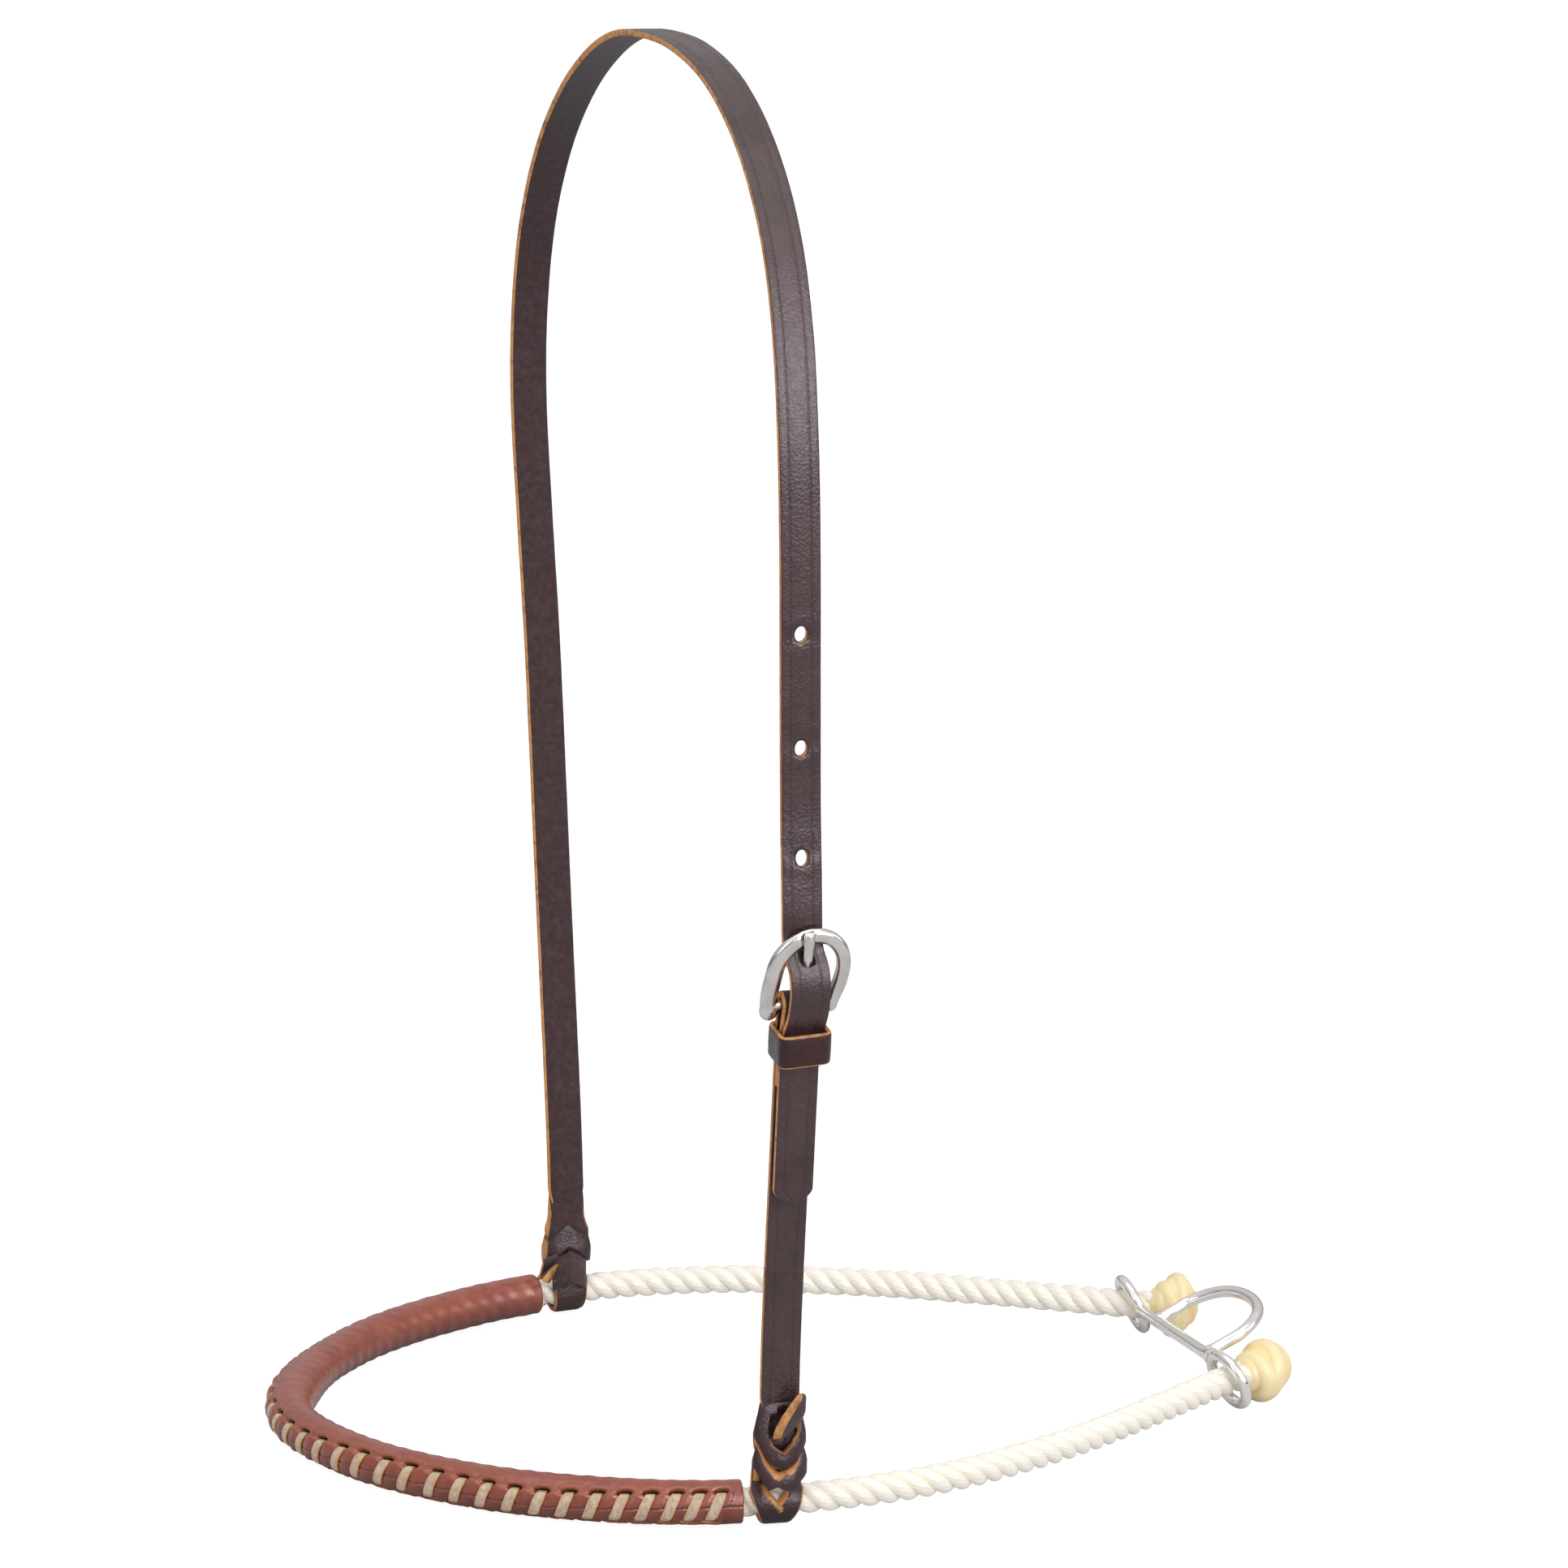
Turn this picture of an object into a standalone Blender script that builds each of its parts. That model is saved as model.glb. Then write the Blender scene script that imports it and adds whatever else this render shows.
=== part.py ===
"""Rope noseband: a rope loop with a laced leather nose cover, a leather headstall
tied on with blood knots, and a welded tie-down dee between the rope's ends.

Units are metres. +X runs from the nose to the tie-down dee, the near side with the
buckle is -Y, and +Z is up. The origin is on the floor, under the middle of the part.
"""

import math

import bmesh
import bpy
from mathutils import Matrix, Vector
from mathutils.geometry import interpolate_bezier

# Clearances
GAP = 0.0003
ROPE_PLAY = 0.00035
FLOOR_FLAT = 0.0004

# Main sizes
LOOP_LENGTH = 0.3090
LOOP_WIDTH = 0.2360
HEADSTALL_HEIGHT = 0.4330

# Rope loop: shares of its length behind the nose and of its half width
ROPE_DIAMETER = 0.0095
ROPE_POINT_SPACING = 0.010
ROPE_SHAPE = [
    (0.0000, 0.0000), (0.0081, 0.1864), (0.0356, 0.3771), (0.0809, 0.5508),
    (0.1456, 0.7220), (0.2265, 0.8602), (0.3139, 0.9593), (0.4045, 1.0000),
    (0.4919, 0.9932), (0.5761, 0.9475), (0.6602, 0.8602), (0.7443, 0.7458),
    (0.8220, 0.6144), (0.8932, 0.4873), (0.9547, 0.3771), (1.0000, 0.3263),
]
ROPE_ROUTE = [(LOOP_LENGTH * back, LOOP_WIDTH / 2 * out) for back, out in ROPE_SHAPE]
ROPE_KNOT_DIAMETER = 0.0208
ROPE_KNOT_LENGTH = 0.0160

# Leather nose cover with its laced seam
COVER_DIAMETER = 0.0134
COVER_BEFORE_KNOT = 0.0099
COVER_SEAM_ANGLE = math.radians(-19.5)
COVER_SEAM_GAP = 0.0005
COVER_EDGE_THICKNESS = 0.0008
LACING_HALF_ANGLE = math.radians(35)
LACE_WIDTH = 0.0030
LACE_THICKNESS = 0.0005
LACE_SLANT = 0.0017
LACE_LOOPS_PER_SIDE = 19
LACE_END_MARGIN = 0.0040
SLOT_CLEARANCE = 0.0006
LACE_SLOT_WIDTH = 0.0019

# Straps
STRAP_WIDTH = 0.0122
STRAP_THICKNESS = 0.0020
TIP_WIDTH = 0.0030
TIP_LENGTH = 0.0048
HOLE_DIAMETER = 0.0045
ROW_SPACING = 0.0006
HOLE_PITCH = 0.0330
FREE_HOLES = 3
FIRST_HOLE_ABOVE_BAR = 0.0455

# Headstall: shares of its half width at the knots and of its height above the rope
KNOT_BACK = LOOP_LENGTH * 0.38479
KNOT_OUT = LOOP_WIDTH / 2 + 0.0044
STRAP_FOOT_HEIGHT = 0.0090
STRAP_UPRIGHT_HEIGHT = 0.0300
FAR_SHAPE = [
    (1.0212, 0.1386), (1.0686, 0.2309), (1.1160, 0.3233), (1.1601, 0.4157),
    (1.1904, 0.5081), (1.2165, 0.6005), (1.2402, 0.6928), (1.2198, 0.7621),
    (1.1462, 0.8314), (0.9967, 0.8926), (0.7802, 0.9411), (0.5229, 0.9758),
    (0.2696, 0.9949), (0.0000, 1.0000),
]
NEAR_SHAPE = [
    (0.2778, 0.9965), (0.5719, 0.9792), (0.8456, 0.9423), (1.0498, 0.8915),
    (1.1699, 0.8314), (1.2271, 0.7621), (1.2402, 0.6928), (1.2165, 0.6005),
    (1.1863, 0.5081),
]
FAR_CHEEK = [(KNOT_OUT, STRAP_FOOT_HEIGHT), (KNOT_OUT, STRAP_UPRIGHT_HEIGHT)]
FAR_CHEEK += [(KNOT_OUT * out, HEADSTALL_HEIGHT * up) for out, up in FAR_SHAPE]
NEAR_CROWN = [(KNOT_OUT * out, HEADSTALL_HEIGHT * up) for out, up in NEAR_SHAPE]
HEADSTALL_LEAN = math.radians(-0.687)
CROWN_BOW = 0.0030
CROWN_BOW_HEIGHT = 0.3200
CROWN_BOW_REACH = 0.1400
CHEEK_LEAN = math.radians(8.3)
BAR_HEIGHT = 0.1612
TIP_BELOW_BAR = 0.0632
FOLD_LENGTH = 0.0260

# Blood knots
WRAP_WIDTH = 0.0122
LINK_COUNT = 2
LINK_HEIGHT = 0.0083
LINK_PITCH = 0.0091
LINK_FIRST_HEIGHT = 0.0151
LINK_WIDTH = 0.0156
LINK_DEPTH = 0.0088
LINK_V_DEPTH = 0.0050
TAIL_WIDTH = 0.0100
TAIL_TAPER = 0.0015
PIVOT_HEIGHT = 0.0077
TAB_WIDTH = 0.0066
TAB_LENGTH = 0.0088
TAB_THICKNESS = 0.0020

# Buckle and keeper
BUCKLE_WIRE = 0.0045
BUCKLE_DEPTH = 0.0034
BUCKLE_WIDTH = 0.0272
BUCKLE_HEIGHT = 0.0245
BUCKLE_SIDE_SHIFT = 0.0005
BAR_DIAMETER = 0.0035
TONGUE_WIDTH = 0.0028
TONGUE_THICKNESS = 0.0014
TONGUE_EYE_WALL = 0.0012
TONGUE_SLOT_LENGTH = 0.0066
KEEPER_HEIGHT = 0.0098
KEEPER_WALL = 0.0015
KEEPER_BELOW_BAR = 0.0118
KEEPER_DEPTH = 0.0119
STITCH_DIAMETER = 0.0007
STITCH_LENGTH = 0.0030
STITCH_COUNT = 3

# Tie-down hardware: a bar welded to two eyes, and a dee welded to the bar
EYE_WIRE = 0.0032
EYE_INNER_DIAMETER = 0.0144
EYE_BEFORE_END = 0.0140
NEAR_EYE_TURN = math.radians(-18)
FAR_EYE_TURN = math.radians(28)
NEAR_BAR_RISE = 0.0069
FAR_BAR_RISE = 0.0002
BAR_WIRE = 0.0033
DEE_WIRE = 0.0037
DEE_WIDTH = 0.0520
DEE_DEPTH = 0.0264
DEE_SHIFT = -0.0070
DEE_BACK = -0.0004
DEE_RISE = 0.0040
DEE_LIFT = math.radians(7)
HARDWARE_TILT = math.radians(23)

EYE_BACK = LOOP_LENGTH - EYE_BEFORE_END
ROPE_RADIUS = ROPE_DIAMETER / 2
COVER_RADIUS = COVER_DIAMETER / 2
NOSE_HEIGHT = COVER_RADIUS - FLOOR_FLAT
REAR_HEIGHT = ROPE_KNOT_DIAMETER / 2 - FLOOR_FLAT
EYE_RADIUS = (EYE_INNER_DIAMETER + EYE_WIRE) / 2


def start_scene():
    """Remove what the scene holds and make the collections for parts and cutters."""
    for thing in list(bpy.data.objects):
        bpy.data.objects.remove(thing, do_unlink=True)
    made = []
    for title in ("rope_noseband", "cutters"):
        collection = bpy.data.collections.new(title)
        bpy.context.scene.collection.children.link(collection)
        made.append(collection)
    return made


PARTS, CUTTERS = start_scene()


def finish_material(name, colour, roughness, metallic=0.0):
    """A plain surface with one colour, roughness and metallic value."""
    surface = bpy.data.materials.new(name)
    surface.use_nodes = True
    shader = surface.node_tree.nodes["Principled BSDF"]
    shader.inputs["Base Color"].default_value = (*colour, 1.0)
    shader.inputs["Roughness"].default_value = roughness
    shader.inputs["Metallic"].default_value = metallic
    surface.diffuse_color = (*colour, 1.0)
    return surface


def add_part(name, data, look, parent=None):
    """Link a mesh or curve as a part, measured from its parent's origin."""
    part = bpy.data.objects.new(name, data)
    PARTS.objects.link(part)
    part.data.materials.append(finish_material(name, *look))
    part.parent = parent
    return part


def add_cutter(name, data, parent=None):
    """Link a mesh that only cuts other parts."""
    cutter = bpy.data.objects.new(name, data)
    CUTTERS.objects.link(cutter)
    cutter.hide_render = True
    cutter.display_type = "WIRE"
    cutter.parent = parent
    return cutter


def add_empty(name, location, parent=None):
    """An empty that marks a joint's axis."""
    empty = bpy.data.objects.new(name, None)
    PARTS.objects.link(empty)
    empty.empty_display_size = 0.02
    empty.location = location
    empty.parent = parent
    return empty


def cut(part, cutter, operation="DIFFERENCE"):
    """Cut a part with a cutter, or join the cutter to it."""
    modifier = part.modifiers.new(cutter.name, "BOOLEAN")
    modifier.operation = operation
    modifier.solver = "EXACT"
    modifier.object = cutter


def smooth(part, angle=40):
    """Shade round surfaces smooth and keep sharp edges."""
    part.data.shade_smooth()
    part.data.set_sharp_from_angle(angle=math.radians(angle))


def resample(points, spacing):
    """Points at even steps, about the given spacing apart, along a chain of points."""
    lengths = [0.0]
    for before, after in zip(points, points[1:]):
        lengths.append(lengths[-1] + (after - before).length)
    count = max(1, round(lengths[-1] / spacing))
    even = []
    index = 0
    for step in range(count + 1):
        wanted = lengths[-1] * step / count
        while index < len(points) - 2 and lengths[index + 1] < wanted:
            index += 1
        share = (wanted - lengths[index]) / (lengths[index + 1] - lengths[index])
        even.append(points[index].lerp(points[index + 1], min(1.0, share)))
    return even


def smooth_path(knots, spacing):
    """Even points on one smooth curve through the knots."""
    directions = []
    for i in range(len(knots)):
        before = knots[max(0, i - 1)]
        after = knots[min(len(knots) - 1, i + 1)]
        directions.append((after - before).normalized())
    dense = []
    for i in range(len(knots) - 1):
        reach = (knots[i + 1] - knots[i]).length / 3
        leave = knots[i] + directions[i] * reach
        arrive = knots[i + 1] - directions[i + 1] * reach
        dense += interpolate_bezier(knots[i], leave, arrive, knots[i + 1], 16)[:-1]
    dense.append(knots[-1])
    return resample(dense, spacing)


def tube_curve(name, points, radius, sides=2, cyclic=False):
    """Curve data for a round wire or cord along straight steps."""
    curve = bpy.data.curves.new(name, "CURVE")
    curve.dimensions = "3D"
    curve.bevel_depth = radius
    curve.bevel_resolution = sides
    curve.use_fill_caps = not cyclic
    spline = curve.splines.new("POLY")
    spline.points.add(len(points) - 1)
    for target, point in zip(spline.points, points):
        target.co = (*point, 1.0)
    spline.use_cyclic_u = cyclic
    return curve


def outline_curve(name, outlines, thickness):
    """Curve data for a flat plate with the given outline and holes, in its XY plane."""
    curve = bpy.data.curves.new(name, "CURVE")
    curve.dimensions = "2D"
    curve.fill_mode = "BOTH"
    curve.extrude = thickness / 2
    for outline in outlines:
        spline = curve.splines.new("POLY")
        spline.points.add(len(outline) - 1)
        for target, (x, y) in zip(spline.points, outline):
            target.co = (x, y, 0.0, 1.0)
        spline.use_cyclic_u = True
    return curve


def circle(radius, count, centre=(0.0, 0.0), start=0.0, sweep=2 * math.pi):
    """Points on an arc; a full turn doesn't repeat its first point."""
    full = abs(abs(sweep) - 2 * math.pi) < 1e-6
    steps = count if full else count - 1
    points = []
    for i in range(count):
        angle = start + sweep * i / steps
        points.append((centre[0] + radius * math.cos(angle), centre[1] + radius * math.sin(angle)))
    return points


def curve_to_mesh(curve_object):
    """Replace a curve object by its welded mesh, which booleans can use."""
    graph = bpy.context.evaluated_depsgraph_get()
    mesh = bpy.data.meshes.new_from_object(curve_object.evaluated_get(graph))
    work = bmesh.new()
    work.from_mesh(mesh)
    bmesh.ops.remove_doubles(work, verts=work.verts, dist=1e-6)
    work.to_mesh(mesh)
    work.free()
    solid = bpy.data.objects.new(curve_object.name + "_mesh", mesh)
    for collection in curve_object.users_collection:
        collection.objects.link(solid)
    solid.parent = curve_object.parent
    solid.matrix_basis = curve_object.matrix_basis
    title = curve_object.name
    bpy.data.objects.remove(curve_object, do_unlink=True)
    solid.name = title
    return solid


def loft_mesh(name, rings, closed=False):
    """A solid skin over rings of equal length; a closed loft joins its last ring to its first."""
    work = bmesh.new()
    rows = [[work.verts.new(point) for point in ring] for ring in rings]
    pairs = list(zip(rows, rows[1:]))
    if closed:
        pairs.append((rows[-1], rows[0]))
    for low, high in pairs:
        for i in range(len(low)):
            j = (i + 1) % len(low)
            work.faces.new((low[i], low[j], high[j], high[i]))
    if not closed:
        work.faces.new(list(reversed(rows[0])))
        work.faces.new(rows[-1])
    bmesh.ops.recalc_face_normals(work, faces=work.faces)
    mesh = bpy.data.meshes.new(name)
    work.to_mesh(mesh)
    work.free()
    return mesh


def ribbon_mesh(name, rows):
    """An open strip, one pair of points for each row, for Solidify to thicken."""
    work = bmesh.new()
    made = [[work.verts.new(point) for point in row] for row in rows]
    for low, high in zip(made, made[1:]):
        work.faces.new((low[0], low[1], high[1], high[0]))
    mesh = bpy.data.meshes.new(name)
    work.to_mesh(mesh)
    work.free()
    return mesh


def box_mesh(name, blocks):
    """Separate boxes in one mesh, each given by its matrix and its three sizes."""
    work = bmesh.new()
    for matrix, size in blocks:
        scaled = matrix @ Matrix.Diagonal((*size, 1.0))
        bmesh.ops.create_cube(work, size=1.0, matrix=scaled)
    mesh = bpy.data.meshes.new(name)
    work.to_mesh(mesh)
    work.free()
    return mesh


def cylinder_mesh(name, pins):
    """Separate cylinders in one mesh, each given by its matrix, radius and length."""
    work = bmesh.new()
    for matrix, radius, length in pins:
        bmesh.ops.create_cone(
            work, cap_ends=True, segments=12, radius1=radius, radius2=radius,
            depth=length, matrix=matrix)
    mesh = bpy.data.meshes.new(name)
    work.to_mesh(mesh)
    work.free()
    return mesh


def thicken(part, thickness):
    """Give an open strip its thickness, half to each side."""
    modifier = part.modifiers.new("thickness", "SOLIDIFY")
    modifier.thickness = thickness
    modifier.offset = 0.0
    modifier.use_even_offset = True


# Places along the loop

LACE_REACH = COVER_RADIUS + GAP + LACE_THICKNESS
DEE_OUT = DEE_BACK + DEE_DEPTH * math.cos(DEE_LIFT)
DEE_UP = DEE_RISE + DEE_DEPTH * math.sin(DEE_LIFT)
REAR_REACH = (EYE_BACK + DEE_OUT * math.cos(HARDWARE_TILT)
              - DEE_UP * math.sin(HARDWARE_TILT) + DEE_WIRE / 2)
ORIGIN_BACK = (REAR_REACH - LACE_REACH) / 2
LOOP_LENGTH_BACK = ROPE_ROUTE[-1][0]


def rope_height(back):
    """Height of the rope's centre at a distance behind the nose."""
    return NOSE_HEIGHT + (REAR_HEIGHT - NOSE_HEIGHT) * back / LOOP_LENGTH_BACK


def rope_knots():
    """Route points of the whole loop, from the near end round the nose to the far end."""
    far = [Vector((back - ORIGIN_BACK, out, rope_height(back))) for back, out in ROPE_ROUTE]
    near = [Vector((point.x, -point.y, point.z)) for point in far[1:]]
    return list(reversed(near)) + far


ROPE_LINE = smooth_path(rope_knots(), 0.001)
ROPE_STEP = (ROPE_LINE[1] - ROPE_LINE[0]).length
ROPE_MIDDLE = (len(ROPE_LINE) - 1) / 2


class RopeFrame:
    """Centre and directions of the rope at a distance along it from the nose."""

    def __init__(self, distance):
        place = min(len(ROPE_LINE) - 1.0, max(0.0, ROPE_MIDDLE + distance / ROPE_STEP))
        index = min(len(ROPE_LINE) - 2, int(place))
        self.centre = ROPE_LINE[index].lerp(ROPE_LINE[index + 1], place - index)
        first = max(0, index - 2)
        last = min(len(ROPE_LINE) - 1, index + 3)
        self.along = (ROPE_LINE[last] - ROPE_LINE[first]).normalized()
        self.out = Vector((0, 0, 1)).cross(self.along).normalized()
        self.up = self.along.cross(self.out)

    def point(self, angle, radius, ahead=0.0):
        """A point round the rope; the angle is 0 outwards and a quarter turn upwards."""
        side = self.out * math.cos(angle) + self.up * math.sin(angle)
        return self.centre + side * radius + self.along * ahead

    def matrix(self, angle, radius):
        """Axes along the rope, round it and away from it, at a point round it."""
        away = self.out * math.cos(angle) + self.up * math.sin(angle)
        turn = Matrix((self.along, away.cross(self.along), away)).transposed().to_4x4()
        return Matrix.Translation(self.centre + away * radius) @ turn


def distance_at(back):
    """Distance along the rope from the nose to a place that far behind it."""
    wanted = back - ORIGIN_BACK
    index = int(ROPE_MIDDLE)
    while ROPE_LINE[index].x < wanted:
        index += 1
    return (index - ROPE_MIDDLE) * ROPE_STEP


KNOT_DISTANCE = distance_at(KNOT_BACK)
COVER_HALF_LENGTH = distance_at(KNOT_BACK - COVER_BEFORE_KNOT)
ROPE_HALF_LENGTH = ROPE_MIDDLE * ROPE_STEP


# Rope and what is fixed to it

CREAM = ((0.86, 0.82, 0.70), 0.45)
KNOT_YELLOW = ((0.87, 0.74, 0.42), 0.5)
CHESTNUT = ((0.24, 0.065, 0.038), 0.45)
RAWHIDE = ((0.52, 0.42, 0.28), 0.6)
CHOCOLATE = ((0.045, 0.028, 0.028), 0.5)
CHROME = ((0.80, 0.80, 0.82), 0.12, 1.0)
SATIN_SILVER = ((0.55, 0.54, 0.52), 0.35, 1.0)
THREAD = ((0.10, 0.06, 0.05), 0.7)


def floor_cutter():
    """Everything below the floor, for the flats that the part stands on."""
    depth = 0.02
    size = (0.5, 0.5, depth)
    return add_cutter("floor_cutter", box_mesh("floor", [(Matrix.Translation((0, 0, -depth / 2)), size)]))


def knot_neck():
    """Distance from a rope knot's middle to its flat neck, where the rope enters."""
    share = ROPE_RADIUS / (ROPE_KNOT_DIAMETER / 2)
    return ROPE_KNOT_LENGTH / 2 * math.sqrt(1 - share * share)


def build_rope():
    """The rope, from one end knot's neck to the other's."""
    reach = ROPE_HALF_LENGTH - knot_neck() - GAP
    count = round(2 * reach / ROPE_POINT_SPACING)
    points = [RopeFrame(reach * (2 * i / count - 1)).centre for i in range(count + 1)]
    add_part("rope", tube_curve("rope", points, ROPE_RADIUS), CREAM)


def build_rope_knot(name, side, floor):
    """The rope's strands tied into a ball that stops the eye."""
    neck_angle = math.acos(knot_neck() / (ROPE_KNOT_LENGTH / 2))
    profile = [(0.0, knot_neck())]
    for i in range(9):
        angle = neck_angle + (math.pi - neck_angle) * i / 8
        radius = ROPE_KNOT_DIAMETER / 2 * math.sin(angle)
        profile.append((max(0.0, radius), ROPE_KNOT_LENGTH / 2 * math.cos(angle)))
    work = bmesh.new()
    verts = [work.verts.new((x, 0.0, z)) for x, z in profile]
    for low, high in zip(verts, verts[1:]):
        work.edges.new((low, high))
    mesh = bpy.data.meshes.new(name)
    work.to_mesh(mesh)
    work.free()
    knot = add_part(name, mesh, KNOT_YELLOW)
    screw = knot.modifiers.new("turn", "SCREW")
    screw.steps = 16
    screw.render_steps = 16
    screw.use_merge_vertices = True
    screw.merge_threshold = 0.00001
    screw.use_smooth_shade = True
    frame = RopeFrame(side * ROPE_HALF_LENGTH)
    knot.location = frame.centre
    knot.rotation_euler = (frame.along * -side).to_track_quat("Z", "Y").to_euler()
    cut(knot, floor)


def cover_section(frame):
    """The cover's cross-section: open at the seam, with edges pared thin under the lace."""
    open_half = COVER_SEAM_GAP / 2 / COVER_RADIUS
    first = COVER_SEAM_ANGLE + open_half
    sweep = 2 * math.pi - 2 * open_half
    pared = COVER_RADIUS - COVER_EDGE_THICKNESS
    full = ROPE_RADIUS + ROPE_PLAY
    pared_half = LACING_HALF_ANGLE + 0.20
    outer_count = 17
    outer = [frame.point(first + sweep * i / (outer_count - 1), COVER_RADIUS) for i in range(outer_count)]
    inner = []
    inner_angles = [open_half, pared_half / 2, pared_half, pared_half + 0.12]
    full_sweep = 2 * math.pi - 2 * inner_angles[-1]
    inner_angles += [inner_angles[-1] + full_sweep * i / 7 for i in range(1, 7)]
    last_angles = (pared_half + 0.12, pared_half, pared_half / 2, open_half)
    inner_angles += [2 * math.pi - angle for angle in last_angles]
    for angle in inner_angles:
        beside = min(angle, 2 * math.pi - angle)
        radius = pared if beside <= pared_half + 0.01 else full
        inner.append(frame.point(COVER_SEAM_ANGLE + angle, radius))
    return outer + list(reversed(inner))


def lace_stations():
    """Distances along the rope of the lace's loops, from the near end to the far end."""
    reach = COVER_HALF_LENGTH - LACE_END_MARGIN
    count = 2 * LACE_LOOPS_PER_SIDE
    pitch = 2 * reach / count
    return [-reach + pitch * (i + 0.5) for i in range(count)]


LACE_UPPER = COVER_SEAM_ANGLE + LACING_HALF_ANGLE
LACE_LOWER = COVER_SEAM_ANGLE - LACING_HALF_ANGLE
LACE_OUTER_RADIUS = COVER_RADIUS + GAP + LACE_THICKNESS / 2
LACE_INNER_RADIUS = COVER_RADIUS - COVER_EDGE_THICKNESS - GAP - LACE_THICKNESS / 2


def build_cover(floor):
    """The nose cover, slotted where the lace goes through it."""
    count = 2 * LACE_LOOPS_PER_SIDE
    distances = [COVER_HALF_LENGTH * (2 * i / count - 1) for i in range(count + 1)]
    rings = [cover_section(RopeFrame(distance)) for distance in distances]
    cover = add_part("nose_cover", loft_mesh("nose_cover", rings), CHESTNUT)
    middle = COVER_RADIUS - COVER_EDGE_THICKNESS / 2
    size = (LACE_WIDTH + SLOT_CLEARANCE, LACE_SLOT_WIDTH, 3 * COVER_EDGE_THICKNESS)
    slots = []
    for station in lace_stations():
        slots.append((RopeFrame(station - LACE_SLANT).matrix(LACE_UPPER, middle), size))
        slots.append((RopeFrame(station + LACE_SLANT).matrix(LACE_LOWER, middle), size))
    cut(cover, add_cutter("lace_slots", box_mesh("lace_slots", slots)))
    cut(cover, floor)
    smooth(cover)


def lace_path(stations):
    """Points of one lace that goes over the seam and back under it, loop after loop."""
    path = []
    for i, station in enumerate(stations):
        for step in range(5):
            share = step / 4
            frame = RopeFrame(station + LACE_SLANT * (2 * share - 1))
            angle = LACE_UPPER + (LACE_LOWER - LACE_UPPER) * share
            path.append((frame, angle, LACE_OUTER_RADIUS))
        if i == len(stations) - 1:
            path.append((RopeFrame(station + LACE_SLANT), LACE_LOWER, LACE_INNER_RADIUS))
            break
        gap = stations[i + 1] - station
        for step in range(3):
            share = step / 2
            frame = RopeFrame(station + LACE_SLANT + (gap - 2 * LACE_SLANT) * share)
            angle = LACE_LOWER + (LACE_UPPER - LACE_LOWER) * share
            path.append((frame, angle, LACE_INNER_RADIUS))
    return path


def lace_rings(path):
    """Flat cross-sections of the lace, as wide as the lace along the rope."""
    points = [frame.point(angle, radius) for frame, angle, radius in path]
    rings = []
    for i, (frame, angle, radius) in enumerate(path):
        arrive = (points[i] - points[max(0, i - 1)]).normalized()
        leave = (points[min(len(points) - 1, i + 1)] - points[i]).normalized()
        course = (arrive + leave).normalized()
        wide = frame.along
        thick = course.cross(wide).normalized()
        corner = max(0.5, course.dot(leave if leave.length > 0 else arrive))
        half_wide = wide * (LACE_WIDTH / 2)
        half_thick = thick * (LACE_THICKNESS / 2 / corner)
        rings.append([
            points[i] + half_wide + half_thick, points[i] - half_wide + half_thick,
            points[i] - half_wide - half_thick, points[i] + half_wide - half_thick])
    return points, rings


def least_gap(points, skip):
    """Least distance between points of a path that are at least so many points apart."""
    least = math.inf
    for i, point in enumerate(points):
        for other in points[i + skip:]:
            least = min(least, (other - point).length)
    return least


def build_laces():
    """Two laces, one for each half of the nose cover."""
    stations = lace_stations()
    half = len(stations) // 2
    for name, part in (("near_lace", stations[:half]), ("far_lace", stations[half:])):
        points, rings = lace_rings(lace_path(part))
        add_part(name, loft_mesh(name, rings), RAWHIDE)
        loop = 8
        beside = least_gap(points, loop - 1) - LACE_WIDTH
        across = LACE_OUTER_RADIUS - LACE_INNER_RADIUS - LACE_THICKNESS
        print(f"{name}: least gap to itself {1000 * min(beside, across):.2f} mm")


def build_wrap(name, side):
    """The strap's end where it goes round the rope, with a shoulder on its outer side."""
    inner = ROPE_RADIUS + ROPE_PLAY
    outer = inner + STRAP_THICKNESS
    shoulder = (outer * 0.94, outer * 0.86)
    arc = circle(outer, 20, start=math.radians(85), sweep=math.radians(295))
    outline = arc + [shoulder]
    wrap = add_part(name, outline_curve(name, [outline, circle(inner, 20)], WRAP_WIDTH), CHOCOLATE)
    frame = RopeFrame(side * KNOT_DISTANCE)
    turn = Matrix((frame.out, frame.up, frame.out.cross(frame.up))).transposed()
    wrap.location = frame.centre
    wrap.rotation_euler = turn.to_euler()


# Headstall

KNOT_X = KNOT_BACK - ORIGIN_BACK
KNOT_Z = rope_height(KNOT_BACK)
BAR_OUT = FAR_CHEEK[2][0] + (BAR_HEIGHT - FAR_CHEEK[2][1]) * math.tan(CHEEK_LEAN)
LAYER_STEP = STRAP_THICKNESS + GAP
FOLD_RADIUS = BAR_DIAMETER / 2 + GAP + STRAP_THICKNESS / 2
TIP_OUT = 2 * LAYER_STEP
CROWN_OUT_AT_BAR = 2 * FOLD_RADIUS + LAYER_STEP + 2 * GAP
BEHIND_FRAME = 0.0030
FRAME_LEAN = math.atan2(
    BEHIND_FRAME + STRAP_THICKNESS / 2 + 2 * GAP + BUCKLE_DEPTH / 2 - FOLD_RADIUS, BUCKLE_HEIGHT)
TONGUE_REST = BUCKLE_DEPTH / 2 + GAP + TONGUE_THICKNESS / 2
TONGUE_KNEE = Vector((TONGUE_REST + 0.0001, BUCKLE_HEIGHT - 0.0030))
TONGUE_ROOT = Vector((0.0011, 0.0028))


def crown_bow(height):
    """How far the crown bows towards the nose at a height above the rope."""
    away = min(1.0, abs(height - CROWN_BOW_HEIGHT) / CROWN_BOW_REACH)
    return -CROWN_BOW * math.cos(away * math.pi / 2) ** 2


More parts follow.
